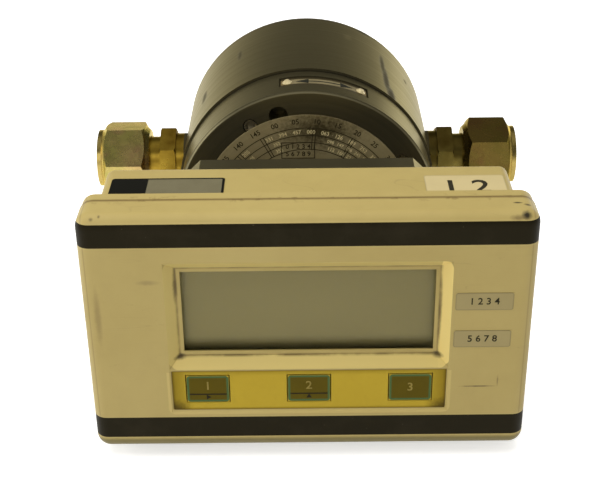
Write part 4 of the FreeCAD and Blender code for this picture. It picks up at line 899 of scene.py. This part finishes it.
class FLOWMETER_OT_labels(bpy.types.Operator):
    """Finish the stickers and the labels, which carry only plain figures and lines"""

    bl_idname = "flowmeter.labels"
    bl_label = "Labels"

    STICKER_FIGURE, LABEL_FIGURE = 3.4 * MM, 13.0 * MM

    def execute(self, context):
        film = prints().film
        dark = ink("label_ink", (0.03, 0.026, 0.015))
        for sticker, text in (("upper_unit_sticker", "1 2 3 4"), ("lower_unit_sticker", "5 6 7 8")):
            finish_cad(paper_film(f"{sticker}_film", sticker, finishes().label), sticker)
            centre = Vector((middle(sticker).x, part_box(sticker)[0].y - film / 2, middle(sticker).z))
            bm = bmesh.new()
            add_figures(bm, text, self.STICKER_FIGURE, Matrix.Translation(centre) @ FACING_FRONT, film)
            piece(f"{sticker}_figures", bm, "meter", dark)
        whiter = scaled(finishes().label, 1.7, 1.73, 2.1)
        finish_cad(paper_film("white_label_film", "white_label", whiter, "Y", 1.2 * MM), "white_label")
        finish_cad(foil_label(), "grey_label")
        centre, top = middle("white_label"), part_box("white_label")[1].z
        bm = bmesh.new()
        add_figures(bm, "1 2", self.LABEL_FIGURE,
                    Matrix.Translation((centre.x, centre.y, top + film / 2)), film)
        piece("white_label_figures", bm, "meter", dark)
        return {"FINISHED"}


def dial_spot(radius, turn, depth):
    """A place on the dial, upright to the dial's rim, turn degrees from its top."""
    return (Matrix.Translation((0.0, depth, AXIS_Z)) @ Matrix.Rotation(math.radians(turn), 4, "Y")
            @ Matrix.Translation((0.0, 0.0, radius)))


def add_ring(bm, radius, wide, front, thick):
    """A thin engraved circle on the dial."""
    corner = Vector((radius, front, AXIS_Z))
    steps = ((0, 0, 0), (wide, 0, 0), (wide, -thick, 0), (0, -thick, 0))
    verts = [bm.verts.new(corner + Vector(step)) for step in steps]
    edges = [bm.edges.new((verts[i], verts[(i + 1) % 4])) for i in range(4)]
    bmesh.ops.spin(bm, geom=verts + edges, cent=(0, front, AXIS_Z), axis=(0, 1, 0), angle=math.tau,
                   steps=120, use_merge=True, use_duplicate=False)
    bmesh.ops.recalc_face_normals(bm, faces=bm.faces)


def add_divider(bm, low, high, turn, wide, front, thick):
    """A short radial line between two of the dial's circles."""
    place = dial_spot((low + high) / 2, turn, front - thick / 2)
    bmesh.ops.create_cube(bm, size=1.0,
                          matrix=place @ Matrix.Diagonal((wide, thick, high - low, 1.0)))


class FLOWMETER_OT_dial(bpy.types.Operator):
    """Engrave the rating plate with plain circles, dividers and numbers"""

    bl_idname = "flowmeter.dial"
    bl_label = "Rating plate"

    RINGS = in_mm((35.2, 32.2, 29.4, 26.6, 20.0))
    DIVIDERS = (4.0, 29.0, 58.0, 112.0, 180.0, 214.0, 262.0, 302.0, 313.0, 331.0)
    DIVIDER_GAP = 2.0
    PANEL, PANEL_RISE = in_mm((-3.1, 12.6, 6.6)), 26.3 * MM
    PANEL_ROWS = (("0 1 2 3 4", 1.5 * MM), ("5 6 7 8 9", -1.5 * MM))
    RIM_RADIUS, RIM_FIGURE, RIM_STEP, RIM_START = 37.9 * MM, 2.8 * MM, 12, -18.0
    PANEL_FIGURE = 2.6 * MM
    FINE_ROWS, FINE_START = ((33.7, 9, 2.1), (30.8, 7, 1.8), (28.0, 8, 1.9)), 3.0

    def execute(self, context):
        finish_cad(engraved_metal("dial_metal", stained=True), "rating_plate")
        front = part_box("rating_plate")[0].y
        film, wide = prints().film, prints().ring_line
        cut = ink("engraved_line", (0.040, 0.032, 0.015))
        bright = engraved_metal("engraved_figure_metal", 2.6)
        bm = bmesh.new()
        for radius in self.RINGS:
            add_ring(bm, radius, wide, front, film)
        for start in self.DIVIDERS:
            for turn in (start, start + self.DIVIDER_GAP):
                add_divider(bm, self.RINGS[3], self.RINGS[0], turn, wide, front, film)
        panel_x, panel_wide, panel_high = self.PANEL
        panel = Vector((panel_x, front, AXIS_Z + self.PANEL_RISE))
        add_frame(bm, panel, panel_wide, panel_high, wide, 1.5 * film)
        piece("dial_lines", bm, "meter", cut)

        bm = bmesh.new()
        for step in range(0, 360, self.RIM_STEP):
            add_figures(bm, f"{step // self.RIM_STEP * 5:02d}", self.RIM_FIGURE,
                        dial_spot(self.RIM_RADIUS, step + self.RIM_START, front) @ FACING_FRONT,
                        2 * film)
        for line, rise in self.PANEL_ROWS:
            add_figures(bm, line, self.PANEL_FIGURE,
                        Matrix.Translation(panel + Vector((0, 0, rise))) @ FACING_FRONT, 3 * film)
        piece("dial_numbers", bm, "meter", cut)

        bm = bmesh.new()
        for radius, pitch, size in self.FINE_ROWS:
            for step in range(0, 360, pitch):
                if 45 < step % 90 < 60 or (radius < 31 and (step < 10 or step > 340)):
                    continue
                add_figures(bm, f"{step * 7 % 1000:03d}", size * MM,
                            dial_spot(radius * MM, step + self.FINE_START, front) @ FACING_FRONT,
                            2 * film)
        piece("dial_fine_numbers", bm, "meter", bright)
        return {"FINISHED"}


class FLOWMETER_OT_arrow(bpy.types.Operator):
    """Finish the curved plate on the cover's band, with a plain arrow that points both ways"""

    bl_idname = "flowmeter.arrow"
    bl_label = "Arrow plate"

    SHAFT, SHAFT_WIDTH = 15.0 * MM, 0.8 * MM
    HEAD_START, HEAD, HEAD_WIDTH, BLUNT_TIP = 6.0 * MM, 4.8 * MM, 4.0 * MM, 1.02

    def execute(self, context):
        finish_cad(arrow_plate_metal(), "arrow_plate")
        finish_cad(rivet_brass(), "arrow_plate_rivets")
        low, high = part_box("arrow_plate")
        across = (low.y + high.y) / 2
        ends = [math.atan2(x, self.top_at(x, high)) for x in (low.x, high.x)]
        radius = high.z - AXIS_Z
        centre = sum(ends) / 2 * radius
        film = prints().film
        bm = bmesh.new()
        shaft = bmesh.ops.create_grid(bm, x_segments=24, y_segments=1, size=0.5)["verts"]
        for vert in shaft:
            vert.co = Vector((centre + vert.co.x * self.SHAFT,
                              across + vert.co.y * self.SHAFT_WIDTH, 0))
        for sign in (-1, 1):
            head = bmesh.ops.create_grid(bm, x_segments=8, y_segments=1, size=0.5)["verts"]
            for vert in head:
                along = vert.co.x + 0.5
                spread = self.HEAD_WIDTH * (self.BLUNT_TIP - along)
                vert.co = Vector((centre + sign * (self.HEAD_START + self.HEAD * along),
                                  across + vert.co.y * sign * spread, 0.2 * film))
        wrap_round(bm.verts, radius + 0.4 * film)
        piece("arrow_lines", bm, "meter", ink("arrow_ink", (0.02, 0.02, 0.013)))
        return {"FINISHED"}

    @staticmethod
    def top_at(x, high):
        """How far above the axis the plate's face is at one of its ends."""
        return math.sqrt(max((high.z - AXIS_Z) ** 2 - x * x, 0.0))


class FLOWMETER_OT_meter(bpy.types.Operator):
    """Finish the meter's body, cover, neck and adapter plate"""

    bl_idname = "flowmeter.meter"
    bl_label = "Meter body"

    def execute(self, context):
        finish_cad(dark_drum_metal(), "meter_body", "neck")
        # painted light: the cover and the adapter plate get lighter copies of one dark finish, set to
        # how brightly each is lit
        finish_cad(dark_cover("dark_cover_metal", 1.15), "front_cover")
        finish_cad(dark_cover("dark_plate_metal", 1.55), "adapter_plate")
        return {"FINISHED"}


class FLOWMETER_OT_fittings(bpy.types.Operator):
    """Finish the studs, the swivel nuts and their seals"""

    bl_idname = "flowmeter.fittings"
    bl_label = "Pipe fittings"

    def execute(self, context):
        # painted light: the inlet and outlet get lighter and darker copies of one brass and one zinc
        # finish, set to how brightly each is lit
        finish_cad(dull_brass("inlet_stud_brass", (2.0,)), "inlet_stud")
        finish_cad(dull_brass("outlet_stud_brass", (0.75, 0.85, 1.5)), "outlet_stud")
        finish_cad(passivated_zinc("inlet_nut_zinc", (1.15, 1.12, 1.0)), "inlet_nut")
        finish_cad(passivated_zinc("outlet_nut_zinc", (0.38, 0.33, 0.2)), "outlet_nut")
        finish_cad(warm_seal_fibre(), "inlet_seal", "outlet_seal")
        return {"FINISHED"}


class FLOWMETER_OT_inside(bpy.types.Operator):
    """Finish the pieces inside, the gland and the screws"""

    bl_idname = "flowmeter.inside"
    bl_label = "Inside, gland and screws"

    def execute(self, context):
        finish_cad(dusty_rubber(), "shell_seal", "window_seal", "cover_o_ring",
                   "gland_seal", "contact_strips")
        finish_cad(moulded_black(), "display_frame", "key_switches",
                   "battery_holder", "board_components", "gland_locknut", "gland_body",
                   "gland_cap", "sensor_lead")
        finish_cad(circuit_laminate(), "main_board", "terminal_block")
        finish_cad(plated_steel(), "shell_screws", "board_screws", "plate_screws",
                   "neck_screws", "cover_screws", "battery", "sensor_probe", "sensor_locknut",
                   "wheel_shaft")
        finish_cad(wheel_polymer(), "turbine_wheel", "jet_ring", "front_bearing",
                   "rear_bearing")
        finish_cad(sintered_ferrite(), "wheel_magnets")
        return {"FINISHED"}


def softbox(name, place, aim, size, power, mirrored=True):
    """A rectangular soft lamp that the camera itself doesn't see, nor polished faces if so asked."""
    lamp = bpy.data.lights.new(name, "AREA")
    lamp.shape = "RECTANGLE"
    lamp.size, lamp.size_y = size
    lamp.energy = power
    holder = add_object(name, lamp)
    holder.location = place
    holder.rotation_mode = "QUATERNION"
    holder.rotation_quaternion = (Vector(aim) - Vector(place)).to_track_quat("-Z", "Y")
    holder.visible_camera = False
    holder.visible_glossy = mirrored


def seen_rays(tree):
    """1 for rays from the camera and for those that gloss or glass sends on."""
    rays = tree.nodes.new("ShaderNodeLightPath").outputs
    seen = maths(tree, "ADD", rays["Is Camera Ray"], rays["Is Glossy Ray"], clamp=True)
    return maths(tree, "ADD", seen, rays["Is Transmission Ray"], clamp=True)


def studio_world(fill, ceiling, overhead):
    """White surroundings, a dim ceiling and a soft glow overhead, as polished surfaces see them."""
    world = bpy.data.worlds.new("studio")
    bpy.context.scene.world = world
    world.use_nodes = True
    tree = world.node_tree
    background = tree.nodes["Background"]
    background.inputs["Color"].default_value = (1.0, 0.985, 0.95, 1.0)
    way = shader_node(tree, "ShaderNodeTexCoord").outputs["Generated"]
    rise = shader_node(tree, "ShaderNodeSeparateXYZ", {"Vector": way}).outputs["Z"]
    sides = remap(tree, rise, 0.0, 0.32, 1.0, ceiling)
    mirrored = maths(tree, "MAXIMUM", sides, remap(tree, rise, 0.70, 0.97, 0.0, overhead))
    straight = tree.nodes.new("ShaderNodeLightPath").outputs["Is Camera Ray"]
    shown = maths(tree, "MAXIMUM", mirrored, straight)
    spread = maths(tree, "SUBTRACT", 1.0, seen_rays(tree))
    strength = maths(tree, "ADD", times(tree, seen_rays(tree), shown), times(tree, spread, fill))
    tree.links.new(strength, background.inputs["Strength"])


@material
def pale_floor(tree):
    """Pale matt paint that looks a little brighter than the light that falls on it."""
    surface(tree, (0.90, 0.90, 0.89), 0.9, gloss=0.0, Emission_Color=(1.0, 1.0, 1.0),
            Emission_Strength=times(tree, seen_rays(tree), 0.55))


def add_floor(half_size=3.0):
    bm = bmesh.new()
    bmesh.ops.create_grid(bm, x_segments=1, y_segments=1, size=half_size)
    mesh = bpy.data.meshes.new("floor")
    bm.to_mesh(mesh)
    bm.free()
    mesh.materials.append(pale_floor())
    add_object("floor", mesh)


class FLOWMETER_OT_stage(bpy.types.Operator):
    """Set the floor, the lamps, the pale surroundings and the camera"""

    bl_idname = "flowmeter.stage"
    bl_label = "Stage"

    FILL, CEILING, OVERHEAD = 0.44, 0.08, 0.45
    MIDDLE = (0, 0.05, 0.05)
    YAW, PITCH, ROLL = -0.00583, 0.49961, -0.01288
    STANDPOINT = Vector((-0.00039, -0.41876, 0.26664))
    LENS = 74.18

    def execute(self, context):
        context.scene.view_settings.view_transform = "Standard"
        studio_world(self.FILL, self.CEILING, self.OVERHEAD)
        add_floor()
        softbox("lamp_above", (-0.1, -0.05, 0.9), (0, 0, 0.05), (0.9, 0.9), 6.6, mirrored=False)
        softbox("lamp_front", (-0.25, -0.9, 0.55), (0, 0, 0.04), (0.6, 0.6), 1.9)
        softbox("lamp_left", (-0.85, 0.02, 0.38), self.MIDDLE, (0.45, 0.40), 2.0)
        softbox("lamp_right", (0.75, 0.90, 0.10), self.MIDDLE, (0.55, 0.4), 1.3)
        self.set_camera(context)
        return {"FINISHED"}

    def set_camera(self, context):
        data = bpy.data.cameras.new("view_camera")
        data.lens = self.LENS
        camera = add_object("view_camera", data)
        camera.location = self.STANDPOINT
        ahead = Vector((math.sin(self.YAW) * math.cos(self.PITCH),
                        math.cos(self.YAW) * math.cos(self.PITCH), -math.sin(self.PITCH)))
        level = Vector((math.cos(self.YAW), -math.sin(self.YAW), 0.0))
        upward = level.cross(ahead)
        right = math.cos(self.ROLL) * level + math.sin(self.ROLL) * upward
        up = math.cos(self.ROLL) * upward - math.sin(self.ROLL) * level
        camera.rotation_mode = "QUATERNION"
        camera.rotation_quaternion = Matrix((right, up, -ahead)).transposed().to_quaternion()
        context.scene.camera = camera


class FLOWMETER_PT_finish(bpy.types.Panel):
    """Lists the steps that dress the meter"""

    bl_label = "Flow meter"
    bl_idname = "FLOWMETER_PT_finish"
    bl_space_type = "VIEW_3D"
    bl_region_type = "UI"
    bl_category = "Flow meter"

    def draw(self, context):
        for group in (finishes(), prints()):
            for name in group.__annotations__:
                self.layout.prop(group, name)
        for step in STEPS:
            self.layout.operator(step.bl_idname)


STEPS = (
    FLOWMETER_OT_head, FLOWMETER_OT_display, FLOWMETER_OT_keypad, FLOWMETER_OT_labels,
    FLOWMETER_OT_dial, FLOWMETER_OT_arrow, FLOWMETER_OT_meter, FLOWMETER_OT_fittings,
    FLOWMETER_OT_inside, FLOWMETER_OT_stage,
)
CLASSES = (FinishSettings, PrintSettings, *STEPS, FLOWMETER_PT_finish)


def register():
    for cls in CLASSES:
        bpy.utils.register_class(cls)
    bpy.types.Scene.meter_finish = bpy.props.PointerProperty(type=FinishSettings)
    bpy.types.Scene.meter_print = bpy.props.PointerProperty(type=PrintSettings)


def unregister():
    del bpy.types.Scene.meter_print
    del bpy.types.Scene.meter_finish
    for cls in reversed(CLASSES):
        bpy.utils.unregister_class(cls)


def main():
    register()
    for step in STEPS:
        family, name = step.bl_idname.split(".")
        getattr(getattr(bpy.ops, family), name)()


if __name__ == "__main__":
    main()
